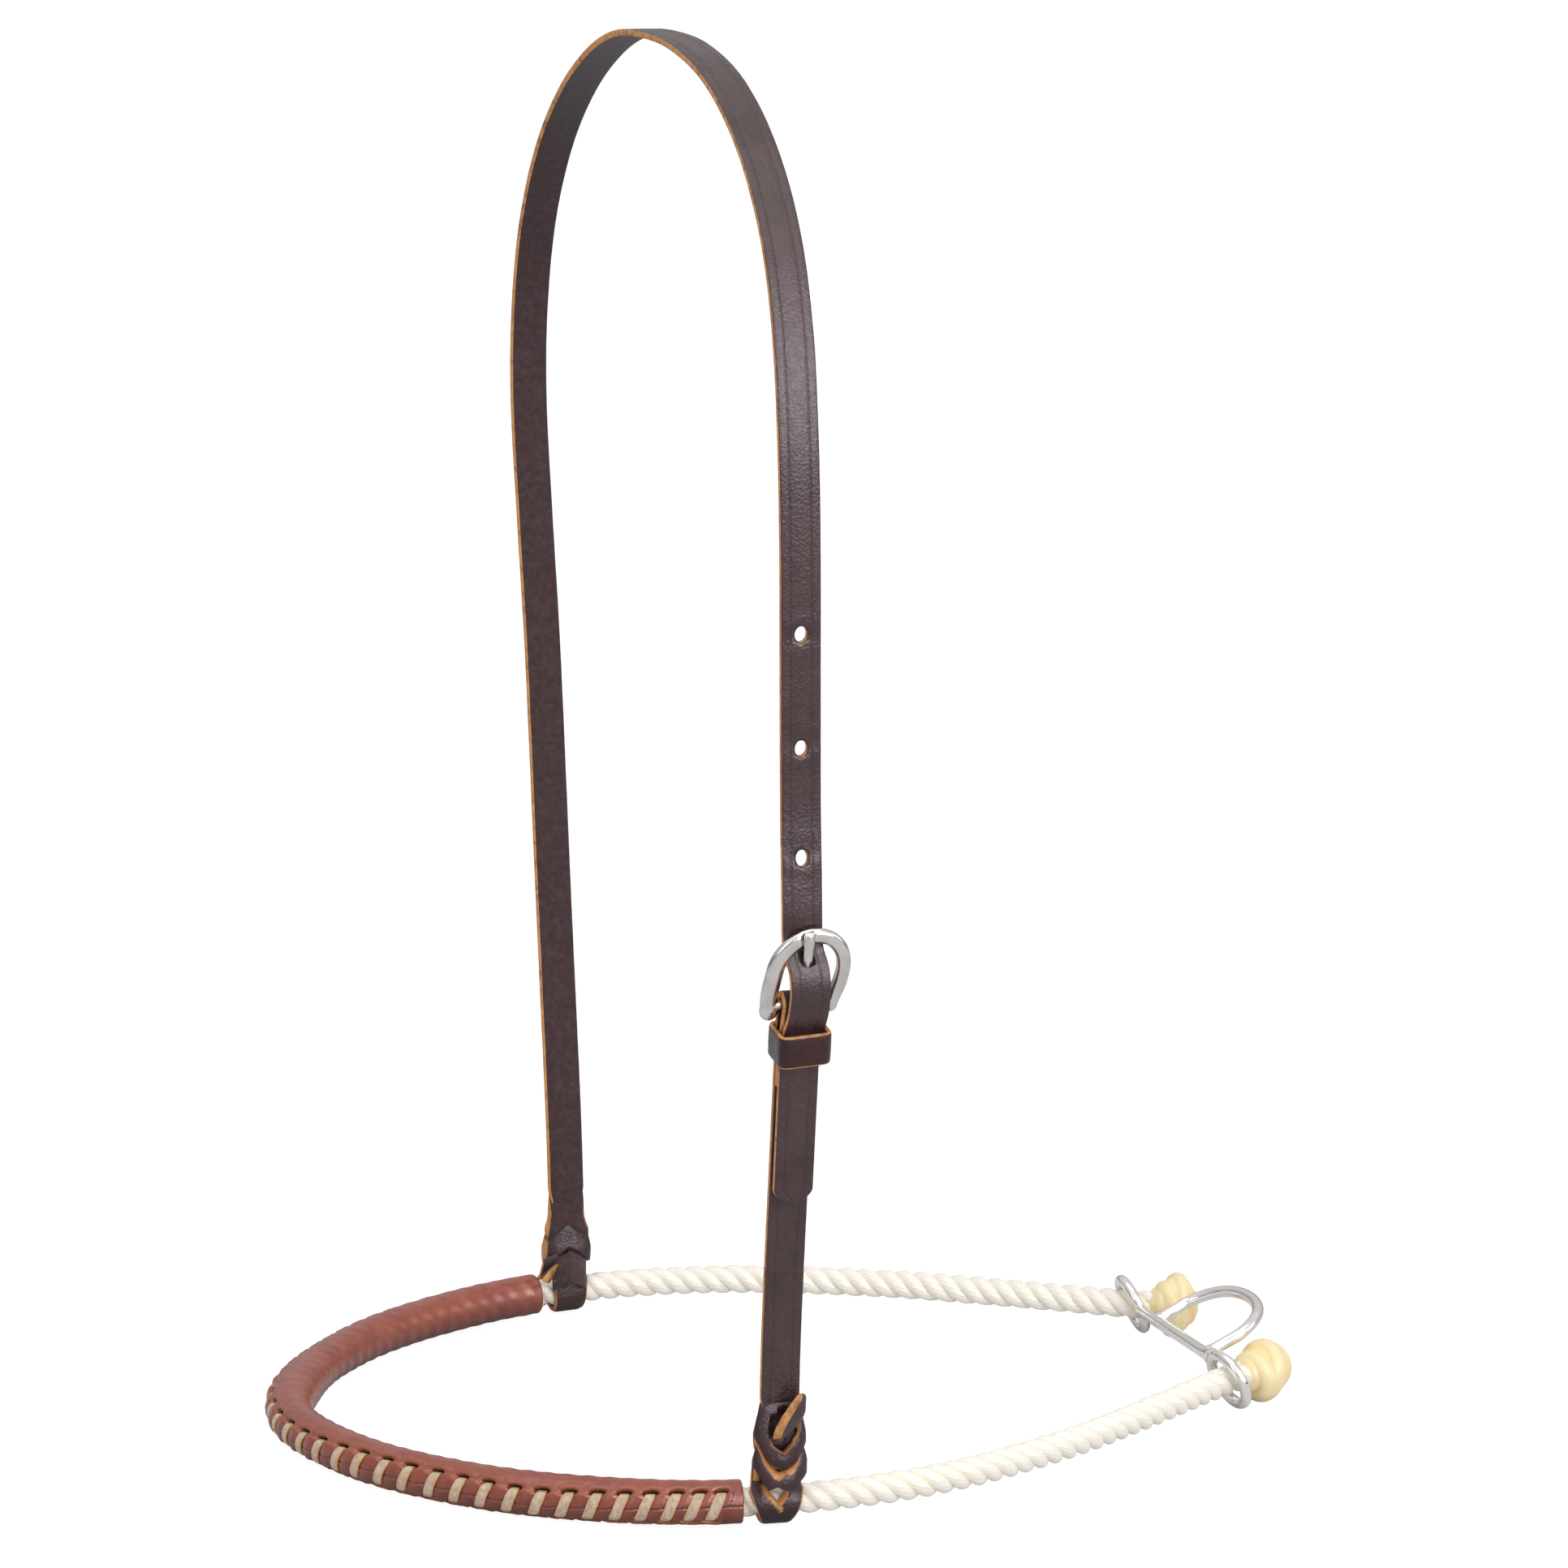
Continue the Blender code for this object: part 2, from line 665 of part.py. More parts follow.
def headstall_point(out, height, side):
    """A point of the headstall, measured from its pivot between the blood knots."""
    return Vector((crown_bow(height), side * out, height - PIVOT_HEIGHT))


def cheek_point(out, above, across=0.0):
    """A point on the near cheek, outwards from its back layer and above the buckle's bar."""
    lean_out = BAR_OUT + above * math.sin(CHEEK_LEAN) + out * math.cos(CHEEK_LEAN)
    height = BAR_HEIGHT + above * math.cos(CHEEK_LEAN) - out * math.sin(CHEEK_LEAN)
    return Vector((across, -lean_out, height - PIVOT_HEIGHT))


def strap_rows(path, widths):
    """Edge points of a strap along its middle line; widths are pairs of distance and width."""
    rows = []
    spots = []
    travelled = 0.0
    pending = list(widths)
    width = pending[0][1]
    for i, point in enumerate(path):
        step = (point - path[i - 1]).length if i else 0.0
        while pending and pending[0][0] <= travelled + step:
            place, width = pending.pop(0)
            share = (place - travelled) / step if step else 0.0
            spots.append((path[i - 1].lerp(point, share) if step else point, width))
        travelled += step
        if (spots[-1][0] - point).length > ROW_SPACING:
            spots.append((point, width))
    for spot, width in spots:
        half = Vector((width / 2, 0, 0))
        rows.append((spot - half, spot + half))
    return rows


def path_length(path):
    """Length of a chain of points."""
    return sum((after - before).length for before, after in zip(path, path[1:]))


def tail_length():
    """Length of the narrow tail that goes down through the links of a blood knot."""
    top_link = LINK_FIRST_HEIGHT + LINK_PITCH * (LINK_COUNT - 1)
    return top_link + LINK_HEIGHT / 2 + LINK_V_DEPTH / 2 + GAP - STRAP_FOOT_HEIGHT


def cheek_place(point):
    """The inverse of cheek_point for a point on the near cheek's middle line."""
    out = -point.y - BAR_OUT
    height = point.z + PIVOT_HEIGHT - BAR_HEIGHT
    return (out * math.cos(CHEEK_LEAN) - height * math.sin(CHEEK_LEAN),
            out * math.sin(CHEEK_LEAN) + height * math.cos(CHEEK_LEAN))


def tongue_out(above):
    """Distance outwards of the tongue's middle line at a height above the bar."""
    share = (above - TONGUE_ROOT.y) / (TONGUE_KNEE.y - TONGUE_ROOT.y)
    ahead = TONGUE_ROOT.x + share * (TONGUE_KNEE.x - TONGUE_ROOT.x)
    return FOLD_RADIUS + ahead + above * math.tan(FRAME_LEAN)


def hole_pin(point, direction):
    """Matrix of a cylinder through a strap that runs in the given direction."""
    through = direction.normalized().cross(Vector((1, 0, 0)))
    return Matrix.Translation(point) @ through.to_track_quat("Z", "Y").to_matrix().to_4x4()


def crown_paths():
    """The crown strap's middle line: the arch, and the stretch through the buckle."""
    far = [headstall_point(out, height, 1) for out, height in FAR_CHEEK]
    near = [headstall_point(out, height, -1) for out, height in NEAR_CROWN]
    bend = [
        cheek_point(BEHIND_FRAME * 0.45, 0.0370, -0.0006), cheek_point(BEHIND_FRAME, 0.0275, -0.0006),
        cheek_point(BEHIND_FRAME - 0.0001, 0.0215, -0.0002), cheek_point(BEHIND_FRAME + 0.0013, 0.0168),
        cheek_point(CROWN_OUT_AT_BAR - 0.0019, 0.0124), cheek_point(CROWN_OUT_AT_BAR - 0.0003, 0.0080),
        cheek_point(CROWN_OUT_AT_BAR, 0.0030, 0.0003),
        cheek_point(CROWN_OUT_AT_BAR - 0.0005, -0.0025, 0.0003),
        cheek_point(TIP_OUT + 0.0024, -0.0080), cheek_point(TIP_OUT + 0.0008, -0.0135),
        cheek_point(TIP_OUT + 0.0001, -0.0190), cheek_point(TIP_OUT, -0.0260),
        cheek_point(TIP_OUT, -0.0420), cheek_point(TIP_OUT, -TIP_BELOW_BAR),
    ]
    arch = smooth_path(far + near + bend[:2], 0.009)
    through = smooth_path([arch[-2]] + bend[1:], 0.0026)
    return arch, through


def build_crown_strap(pivot):
    """The long strap: far blood knot, over the crown, through the buckle, down to its tip."""
    arch, through = crown_paths()
    path = arch[:-2] + through
    total = path_length(path)
    tail = tail_length()
    widths = [(0.0, TAIL_WIDTH), (tail, TAIL_WIDTH), (tail + TAIL_TAPER, STRAP_WIDTH),
              (total - TIP_LENGTH, STRAP_WIDTH), (total - 0.00001, TIP_WIDTH)]
    rows = strap_rows(path, widths)
    strap = add_part("crown_strap", ribbon_mesh("crown_strap", rows), CHOCOLATE, pivot)
    thicken(strap, STRAP_THICKNESS)
    pins = []
    start = len(arch)
    while cheek_place(path[start])[0] < tongue_out(cheek_place(path[start])[1]):
        start += 1
    margins = []
    for point in path[start - 1:start + 1]:
        out, above = cheek_place(point)
        margins.append(out - tongue_out(above))
    hole = path[start - 1].lerp(path[start], margins[0] / (margins[0] - margins[1]))
    slot_matrix = hole_pin(hole + Vector((BUCKLE_SIDE_SHIFT, 0, 0)), path[start - 1] - path[start])
    index = start
    while cheek_place(path[index])[1] < FIRST_HOLE_ABOVE_BAR:
        index -= 1
    travelled = cheek_place(path[index])[1] - FIRST_HOLE_ABOVE_BAR
    for number in range(FREE_HOLES):
        while travelled < number * HOLE_PITCH:
            travelled += (path[index - 1] - path[index]).length
            index -= 1
        spare = (travelled - number * HOLE_PITCH) / (path[index + 1] - path[index]).length
        point = path[index].lerp(path[index + 1], spare)
        pins.append((hole_pin(point, path[index] - path[index + 1]), HOLE_DIAMETER / 2, 0.01))
    cut(strap, add_cutter("strap_holes", cylinder_mesh("strap_holes", pins), pivot))
    slot = [(slot_matrix, (TONGUE_WIDTH + SLOT_CLEARANCE, TONGUE_SLOT_LENGTH, 2.2 * STRAP_THICKNESS))]
    cut(strap, add_cutter("tongue_slot", box_mesh("tongue_slot", slot), pivot))


def fold_path():
    """The near cheek strap's middle line: up the cheek, over the bar and down the front."""
    foot = [headstall_point(out, height, -1) for out, height in FAR_CHEEK[:3]]
    cheek = smooth_path(foot + [cheek_point(0.0, -0.040)], 0.009)
    straight = resample([cheek[-1], cheek_point(0.0, -0.004)], 0.009)
    bend = []
    for x, y in circle(FOLD_RADIUS, 9, start=math.pi, sweep=-math.pi):
        bend.append(cheek_point(FOLD_RADIUS + x, y))
    front = smooth_path([
        bend[-1], cheek_point(2 * FOLD_RADIUS - 0.0010, -0.0050), cheek_point(LAYER_STEP + 0.0009, -0.0105),
        cheek_point(LAYER_STEP, -0.0160), cheek_point(LAYER_STEP, -FOLD_LENGTH)], 0.0028)
    return cheek + straight[1:] + bend + front[1:]


def build_cheek_strap(pivot, cheek):
    """The short near strap, folded round the buckle's bar and stitched to itself."""
    tail = tail_length()
    widths = [(0.0, TAIL_WIDTH), (tail, TAIL_WIDTH), (tail + TAIL_TAPER, STRAP_WIDTH)]
    rows = strap_rows(fold_path(), widths)
    strap = add_part("cheek_strap", ribbon_mesh("cheek_strap", rows), CHOCOLATE, pivot)
    thicken(strap, STRAP_THICKNESS)
    slot_size = (TONGUE_WIDTH + 2 * SLOT_CLEARANCE, 4 * FOLD_RADIUS, 0.0110)
    slot_place = Matrix.Translation((BUCKLE_SIDE_SHIFT, -FOLD_RADIUS, 0.0005))
    cut(strap, add_cutter("fold_slot", box_mesh("fold_slot", [(slot_place, slot_size)]), cheek))
    groove = STITCH_DIAMETER + 3 * GAP
    size = (STITCH_COUNT * STITCH_LENGTH + groove, 2 * (STITCH_DIAMETER + GAP), groove)
    faces = (-STRAP_THICKNESS / 2, LAYER_STEP + STRAP_THICKNESS / 2)
    grooves = [(Matrix.Translation((0, -face, -STITCH_BELOW_BAR)), size) for face in faces]
    cut(strap, add_cutter("stitch_grooves", box_mesh("stitch_grooves", grooves), cheek))
    pins = []
    through = Matrix.Rotation(math.pi / 2, 4, "X")
    for x in stitch_places():
        lie = Matrix.Translation((x, -LAYER_STEP / 2, -STITCH_BELOW_BAR)) @ through
        pins.append((lie, STITCH_DIAMETER / 2 + GAP, 3 * LAYER_STEP))
    cut(strap, add_cutter("stitch_holes", cylinder_mesh("stitch_holes", pins), cheek))


STITCH_BELOW_BAR = FOLD_LENGTH - 0.004


def stitch_places():
    """Places across the strap where the thread goes through it."""
    span = STITCH_COUNT * STITCH_LENGTH
    return [-span / 2 + STITCH_LENGTH * i for i in range(STITCH_COUNT + 1)]


def build_stitching(cheek):
    """One thread that sews the fold shut, in and out through both layers."""
    front = LAYER_STEP + STRAP_THICKNESS / 2 - STITCH_DIAMETER / 2
    back = -STRAP_THICKNESS / 2 + STITCH_DIAMETER / 2
    points = []
    for i, x in enumerate(stitch_places()):
        first, second = (front, back) if i % 2 else (back, front)
        points.append((x, -first, -STITCH_BELOW_BAR))
        points.append((x, -second, -STITCH_BELOW_BAR))
    add_part("fold_stitching", tube_curve("fold_stitching", points, STITCH_DIAMETER / 2, 1), THREAD, cheek)


def rounded_box(half_x, low_y, high_y, radius):
    """Outline of a rectangle with rounded corners."""
    centres = [(half_x - radius, high_y - radius), (radius - half_x, high_y - radius),
               (radius - half_x, low_y + radius), (half_x - radius, low_y + radius)]
    outline = []
    for i, centre in enumerate(centres):
        outline += circle(radius, 4, centre, start=i * math.pi / 2, sweep=math.pi / 2)
    return outline


def with_middles(outline):
    """A rounded box's outline with one more point in the middle of each straight side."""
    points = []
    for i, point in enumerate(outline):
        points.append(point)
        if i % 4 == 3:
            following = outline[(i + 1) % len(outline)]
            points.append(((point[0] + following[0]) / 2, (point[1] + following[1]) / 2))
    return points


def build_link(name, side, number, pivot):
    """One leather loop of a blood knot, pointed down on its outer side."""
    height = LINK_FIRST_HEIGHT + LINK_PITCH * number - PIVOT_HEIGHT
    half_x = LINK_WIDTH / 2
    half_y = LINK_DEPTH / 2
    hole_x = TAIL_WIDTH / 2 + GAP
    hole_y = STRAP_THICKNESS / 2 + GAP
    outer = with_middles(rounded_box(half_x, -half_y, half_y, 0.0032))
    inner = with_middles(rounded_box(hole_x, -hole_y, hole_y, 0.0003))
    rings = []
    for out_point, in_point in zip(outer, inner):
        front = max(0.0, out_point[1] * side / half_y)
        shift = LINK_V_DEPTH * (abs(out_point[0]) / half_x - 0.5) * front
        ring = []
        for (x, y), level in ((out_point, 0.5), (out_point, -0.5), (in_point, -0.5), (in_point, 0.5)):
            ring.append(Vector((x, y, height + LINK_HEIGHT * level + shift)))
        rings.append(ring)
    link = add_part(name, loft_mesh(name, rings, closed=True), CHOCOLATE, pivot)
    link.location = (0, side * KNOT_OUT, 0)
    smooth(link, 50)


def build_tab(name, side, inward, pivot):
    """The cut end of a blood knot's tail, standing off the knot."""
    top_link = LINK_FIRST_HEIGHT + LINK_PITCH * (LINK_COUNT - 1) - PIVOT_HEIGHT
    if inward:
        off = LINK_DEPTH / 2 + GAP + TAB_THICKNESS
        start = Vector((-LINK_WIDTH / 4, -side * off, top_link - LINK_PITCH))
        course = Vector((-0.75, -side * 0.25, 0.1)).normalized()
        wide = Vector((0.0, 0.0, 1.0))
    else:
        off = STRAP_THICKNESS / 2 + GAP + TAB_THICKNESS
        start = Vector((0.0005, side * off, top_link + LINK_HEIGHT / 2 + 3 * GAP))
        course = Vector((0.18, side * 0.35, 1.0)).normalized()
        wide = Vector((1.0, 0.0, -0.18)).normalized()
    start.y += side * KNOT_OUT
    rows = []
    for step in range(5):
        share = step / 4
        width = TAB_WIDTH * (1.0 if share < 0.7 else 0.55)
        middle = start + course * (TAB_LENGTH * share) + Vector((0, side * 0.0012 * share * share, 0))
        rows.append((middle - wide * width / 2, middle + wide * width / 2))
    tab = add_part(name, ribbon_mesh(name, rows), CHOCOLATE, pivot)
    thicken(tab, TAB_THICKNESS)


# Buckle and keeper


def frame_half():
    """Route of half of the buckle's frame, from the foot of an arm to the top."""
    arm = (BUCKLE_WIDTH - BUCKLE_WIRE) / 2
    return [
        (arm * 0.95, -0.0018), (arm * 0.985, 0.0015), (arm, 0.0060), (arm, 0.0115),
        (arm * 0.96, 0.0163), (arm * 0.81, 0.0200), (arm * 0.46, 0.0233), (0.0, BUCKLE_HEIGHT),
    ]


def build_buckle(pivot):
    """The cast frame with its bar."""
    half = [Vector((x, 0.0, z)) for x, z in frame_half()]
    whole = half + [Vector((-point.x, 0.0, point.z)) for point in reversed(half[:-1])]
    route = smooth_path(whole, 0.0030)
    wire = tube_curve("buckle_frame", route, BUCKLE_WIRE / 2, 3)
    frame = add_part("buckle_frame", wire, SATIN_SILVER, pivot)
    frame.scale = (1, BUCKLE_DEPTH / BUCKLE_WIRE, 1)
    arm = (BUCKLE_WIDTH - BUCKLE_WIRE) / 2
    ends = [Vector((-arm, 0, 0)), Vector((arm, 0, 0))]
    bar = bpy.data.objects.new("buckle_bar", tube_curve("buckle_bar", ends, BAR_DIAMETER / 2, 3))
    CUTTERS.objects.link(bar)
    bar.parent = pivot
    bpy.context.view_layer.update()
    frame = curve_to_mesh(frame)
    bar = curve_to_mesh(bar)
    bar.hide_render = True
    bar.display_type = "WIRE"
    cut(frame, bar, "UNION")
    smooth(frame)


def build_tongue(pivot):
    """The tongue: an eye round the bar and a shank that rests on the frame's top."""
    eye_inner = BAR_DIAMETER / 2 + GAP
    eye_outer = eye_inner + TONGUE_EYE_WALL
    tip = Vector((TONGUE_REST, BUCKLE_HEIGHT + 0.0016))
    knee = TONGUE_KNEE
    root = TONGUE_ROOT
    half = TONGUE_THICKNESS / 2
    outline = [(root.x + half, root.y), (knee.x + half, knee.y), (tip.x + half, tip.y - half),
               (tip.x + half * 0.3, tip.y), (tip.x - half, tip.y - half * 0.8),
               (knee.x - half, knee.y), (root.x - half * 1.6, root.y)]
    outline += circle(eye_outer, 14, start=math.radians(110), sweep=math.radians(285))
    plate = outline_curve("buckle_tongue", [outline, circle(eye_inner, 16)], TONGUE_WIDTH)
    tongue = add_part("buckle_tongue", plate, SATIN_SILVER, pivot)
    tongue.rotation_euler = Matrix(((0, 0, -1), (-1, 0, 0), (0, 1, 0))).to_euler()


def build_keeper(cheek):
    """The leather loop that holds the strap's tip against the cheek."""
    inner_x = STRAP_WIDTH / 2 + 1.3 * GAP
    inner_low = -STRAP_THICKNESS / 2 - GAP
    inner_high = inner_low + KEEPER_DEPTH
    inner = rounded_box(inner_x, inner_low, inner_high, 0.0004)
    outer = rounded_box(inner_x + KEEPER_WALL, inner_low - KEEPER_WALL, inner_high + KEEPER_WALL, 0.0019)
    keeper = add_part("keeper", outline_curve("keeper", [outer, inner], KEEPER_HEIGHT), CHOCOLATE, cheek)
    keeper.location = (0, 0, -KEEPER_BELOW_BAR)
    keeper.rotation_euler = (math.pi, 0, 0)


# Tie-down hardware


def bar_end(meet, centre, yaw, course):
    """Where the bar's flat end just clears an eye."""
    into_eye = (Matrix.Translation(centre) @ Matrix.Rotation(yaw, 4, "Z")).inverted()
    away = course.orthogonal().normalized()
    other = course.cross(away)
    face = [(0.0, 0.0)] + circle(BAR_WIRE / 4, 12) + circle(BAR_WIRE / 2, 24)
    reach = 0.0
    gap = 0.0
    while gap < EYE_WIRE / 2 + GAP:
        reach += 0.0001
        gap = 1.0
        for x, y in face:
            spot = into_eye @ (meet + course * reach + away * x + other * y)
            gap = min(gap, math.hypot(spot.x, math.hypot(spot.y, spot.z) - EYE_RADIUS))
    return meet + course * reach


def build_hardware():
    """Two eyes on the rope, the bar between them and the dee behind it."""
    frame = RopeFrame(distance_at(EYE_BACK))
    eye_out = frame.centre.y
    pivot = add_empty("hardware_pivot", (frame.centre.x, 0, frame.centre.z))
    pivot.rotation_euler = (0, -HARDWARE_TILT, 0)
    heading = math.atan2(frame.along.y, frame.along.x)
    meets = []
    for name, side, turn, rise in (("near_eye", -1, NEAR_EYE_TURN, NEAR_BAR_RISE),
                                   ("far_eye", 1, FAR_EYE_TURN, FAR_BAR_RISE)):
        bpy.ops.mesh.primitive_torus_add(
            major_radius=EYE_RADIUS, minor_radius=EYE_WIRE / 2, major_segments=24, minor_segments=8)
        ring = bpy.context.object
        mesh = ring.data
        bpy.data.objects.remove(ring, do_unlink=True)
        mesh.shade_smooth()
        eye = add_part(name, mesh, CHROME, pivot)
        yaw = side * heading + turn
        centre = Vector((0, side * eye_out, 0))
        eye.location = centre
        eye.rotation_euler = (0, math.pi / 2, yaw)
        across = math.sqrt(EYE_RADIUS ** 2 - rise ** 2)
        inward = Vector((math.sin(yaw), -math.cos(yaw), 0)) * side
        meets.append((centre + inward * across + Vector((0, 0, rise)), centre, yaw))
    course = (meets[1][0] - meets[0][0]).normalized()
    ends = [bar_end(*meets[0], course), bar_end(*meets[1], -course)]
    add_part("tie_down_bar", tube_curve("tie_down_bar", ends, BAR_WIRE / 2, 3), CHROME, pivot)
    share = (DEE_SHIFT - meets[0][0].y) / (meets[1][0].y - meets[0][0].y)
    foot = meets[0][0].lerp(meets[1][0], share)
    out = Vector((math.cos(DEE_LIFT), 0, math.sin(DEE_LIFT)))
    out = (out - course * out.dot(course)).normalized()
    half = DEE_WIDTH / 2
    bow = [(-half, BAR_WIRE / 2 + 4 * GAP), (-half, DEE_DEPTH * 0.25), (-half, DEE_DEPTH * 0.5),
           (-half * 0.82, DEE_DEPTH * 0.77), (-half * 0.5, DEE_DEPTH * 0.935), (0.0, DEE_DEPTH)]
    bow += [(-along, back) for along, back in reversed(bow[:-1])]
    route = smooth_path([foot + course * along + out * back for along, back in bow], 0.0045)
    add_part("tie_down_dee", tube_curve("tie_down_dee", route, DEE_WIRE / 2, 3), CHROME, pivot)


def build_headstall():
    """The leather headstall on its two blood knots, with the buckle and the keeper."""
    pivot = add_empty("headstall_pivot", (KNOT_X, 0, KNOT_Z + PIVOT_HEIGHT))
    pivot.rotation_euler = (0, HEADSTALL_LEAN, 0)
    cheek = add_empty("cheek_frame", cheek_point(0, 0), pivot)
    cheek.rotation_euler = (CHEEK_LEAN, 0, 0)
    buckle = add_empty("buckle_pivot", (BUCKLE_SIDE_SHIFT, -FOLD_RADIUS, 0), cheek)
    buckle.rotation_euler = (FRAME_LEAN, 0, 0)
    build_crown_strap(pivot)
    build_cheek_strap(pivot, cheek)
    build_stitching(cheek)
    for title, side in (("near", -1), ("far", 1)):
        for number in range(LINK_COUNT):
            build_link(f"{title}_knot_link_{number + 1}", side, number, pivot)
        build_tab(f"{title}_knot_tab", side, side > 0, pivot)
    build_buckle(buckle)
    build_tongue(buckle)
    build_keeper(cheek)


def build_noseband():
    """The rope loop and all that is fixed to it."""
    floor = floor_cutter()
    build_rope()
    for title, side in (("near", -1), ("far", 1)):
        build_rope_knot(f"{title}_rope_knot", side, floor)
        build_wrap(f"{title}_knot_wrap", side)
    build_cover(floor)
    build_laces()


build_noseband()
build_headstall()
build_hardware()
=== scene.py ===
"""Looks of the rope noseband: every surface that shows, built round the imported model."""

import math

import bmesh
import bpy
import numpy as np
from mathutils import Matrix, Vector, noise
from mathutils.geometry import interpolate_bezier


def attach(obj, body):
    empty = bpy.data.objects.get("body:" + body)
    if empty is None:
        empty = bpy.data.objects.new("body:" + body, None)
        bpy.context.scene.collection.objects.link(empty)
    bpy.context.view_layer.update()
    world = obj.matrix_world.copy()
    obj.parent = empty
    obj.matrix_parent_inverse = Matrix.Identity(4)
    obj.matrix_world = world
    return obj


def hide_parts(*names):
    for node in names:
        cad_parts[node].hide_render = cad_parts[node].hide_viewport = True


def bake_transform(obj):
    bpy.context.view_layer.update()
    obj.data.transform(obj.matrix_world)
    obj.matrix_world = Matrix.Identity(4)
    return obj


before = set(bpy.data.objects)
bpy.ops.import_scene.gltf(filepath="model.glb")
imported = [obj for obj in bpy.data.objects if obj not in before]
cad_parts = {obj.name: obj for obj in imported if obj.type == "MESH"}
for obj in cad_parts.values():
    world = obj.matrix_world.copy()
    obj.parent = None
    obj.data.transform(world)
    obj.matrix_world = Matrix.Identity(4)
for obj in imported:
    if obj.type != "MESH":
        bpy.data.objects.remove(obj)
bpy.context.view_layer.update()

MM = 0.001
GRAIN, EDGE, BACK = 0, 1, 2


# The part's own route and sizes, in metres

ROPE_ROUTE = [
    (0.0000, 0.0000), (0.0025, 0.0220), (0.0110, 0.0445), (0.0250, 0.0650),
    (0.0450, 0.0852), (0.0700, 0.1015), (0.0970, 0.1132), (0.1250, 0.1180),
    (0.1520, 0.1172), (0.1780, 0.1118), (0.2040, 0.1015), (0.2300, 0.0880),
    (0.2540, 0.0725), (0.2760, 0.0575), (0.2950, 0.0445), (0.3090, 0.0385),
]
ORIGIN_BACK = 0.1551410
NOSE_HEIGHT = 0.0063
REAR_HEIGHT = 0.0100
STRAND_OFFSET = 0.00245
STRAND_THICK = 0.00235
STRAND_WIDE = 0.0024
ROPE_LAY = 0.0195
COVER_RADIUS = 0.0067
COVER_END_BACK = 0.1090
SEAM_TURNS = [
    (-0.175, 4), (-0.165, 4), (-0.152, 1), (-0.144, -3), (-0.128, -9), (-0.113, -15), (-0.103, -14),
    (-0.095, -10), (-0.077, -4), (-0.058, -1.5), (-0.048, -1), (-0.035, -6), (-0.019, -11), (0.0, -8),
    (0.010, -4), (0.030, -6), (0.175, -6),
]
FAR_COVER_GAP = 0.0030
LACING_HALF_ANGLE = math.radians(35)
LACE_SLANT = 0.0017
LACE_HALF_WIDTH = 0.00182
LACE_HALF_THICKNESS = 0.00042
SLIT_HALF_LENGTH = 0.0025
SLIT_HALF_HEIGHT = 0.00105
LACE_STATIONS = [
    -0.1633, -0.1570, -0.1503, -0.1427, -0.1350, -0.1268, -0.1183, -0.1100, -0.1015, -0.0930, -0.0843,
    -0.0753, -0.0655, -0.0563, -0.0465, -0.0372, -0.0270, -0.0173, -0.0080, 0.0015, 0.0110, 0.0207, 0.0305,
    0.0400, 0.0495, 0.0590, 0.0685, 0.0775, 0.0865, 0.0955, 0.1040, 0.1125, 0.1210, 0.1293, 0.1373, 0.1450,
    0.1517, 0.1580, 0.1636,
]
KNOT_BACK = 0.1189
PIVOT_HEIGHT = 0.0077
HEADSTALL_LEAN = math.radians(-0.687)
STRAP_WIDTH = 0.0122
STRAP_THICKNESS = 0.0020
KNOT_STRAP_WIDTH = 0.0098
WIDENING_START = 0.009
WIDENING_LENGTH = 0.008
CREASE_IN = 0.0029
FAR_CHEEK = [
    (0.1224, 0.0090), (0.1224, 0.0300), (0.1250, 0.0600), (0.1308, 0.1000),
    (0.1366, 0.1400), (0.1420, 0.1800), (0.1457, 0.2200), (0.1489, 0.2600),
    (0.1518, 0.3000), (0.1493, 0.3300), (0.1403, 0.3600), (0.1220, 0.3865),
    (0.0955, 0.4075), (0.0640, 0.4225), (0.0330, 0.4308), (0.0000, 0.4330),
]
NEAR_CROWN = [
    (0.0340, 0.4315), (0.0700, 0.4240), (0.1035, 0.4080), (0.1285, 0.3860),
    (0.1432, 0.3600), (0.1502, 0.3300), (0.1518, 0.3000), (0.1489, 0.2600), (0.1452, 0.2200),
]
CHEEK_LEAN = math.radians(8.3)
BAR_HEIGHT = 0.1612
BAR_OUT = 0.1397635
FOLD_RADIUS = 0.00305
FOLD_LENGTH = 0.0260
LAYER_STEP = 0.0023
TIP_OUT = 0.0046
TIP_BELOW_BAR = 0.0632
TIP_WIDTH = 0.0030
TIP_LENGTH = 0.0048
CROWN_OUT = 0.0090
BEHIND_FRAME = 0.0030
FRAME_LEAN = math.radians(7.5563)
BUCKLE_SHIFT = 0.0005
HOLE_RADIUS = 0.00225
HOLE_ACROSS, HOLE_ALONG = 0.85, 1.10
HOLE_PITCH = 0.0335
FIRST_HOLE = 0.0442
KEEPER_BELOW_BAR = 0.0118
KEEPER_HEIGHT = 0.0098
KEEPER_HALF_WALL = 0.00075
EYE_BACK = 0.2950
EYE_RADIUS = 0.0088
EYE_WIRE = 0.0036
NEAR_EYE_TURN = math.radians(-18)
FAR_EYE_TURN = math.radians(28)
NEAR_BAR_RISE = 0.0069
FAR_BAR_RISE = 0.0002
BAR_WIRE = 0.0039
DEE_WIRE = 0.0040
DEE_WIDTH = 0.0520
DEE_DEPTH = 0.0264
DEE_SHIFT = -0.0070
DEE_LIFT = math.radians(4)
HARDWARE_TILT = math.radians(23)
BALL_STRAND = 0.0022
BALL_WINDING = 0.0080
BALL_CORE = (0.0090, 0.0090, 0.0078)
FLOOR_GAP = 0.00015
COVER_FLOOR_GAP = 0.0001
CAMERA_TURN = (-17.37597, 11.50753, 0.66921)
CAMERA_AIM = (-0.03392318, -0.11154628, 0.22782543)
CAMERA_DISTANCE = 1.8
FOCUS_PIXELS = 7469.86
PHOTO_PIXELS = 1932
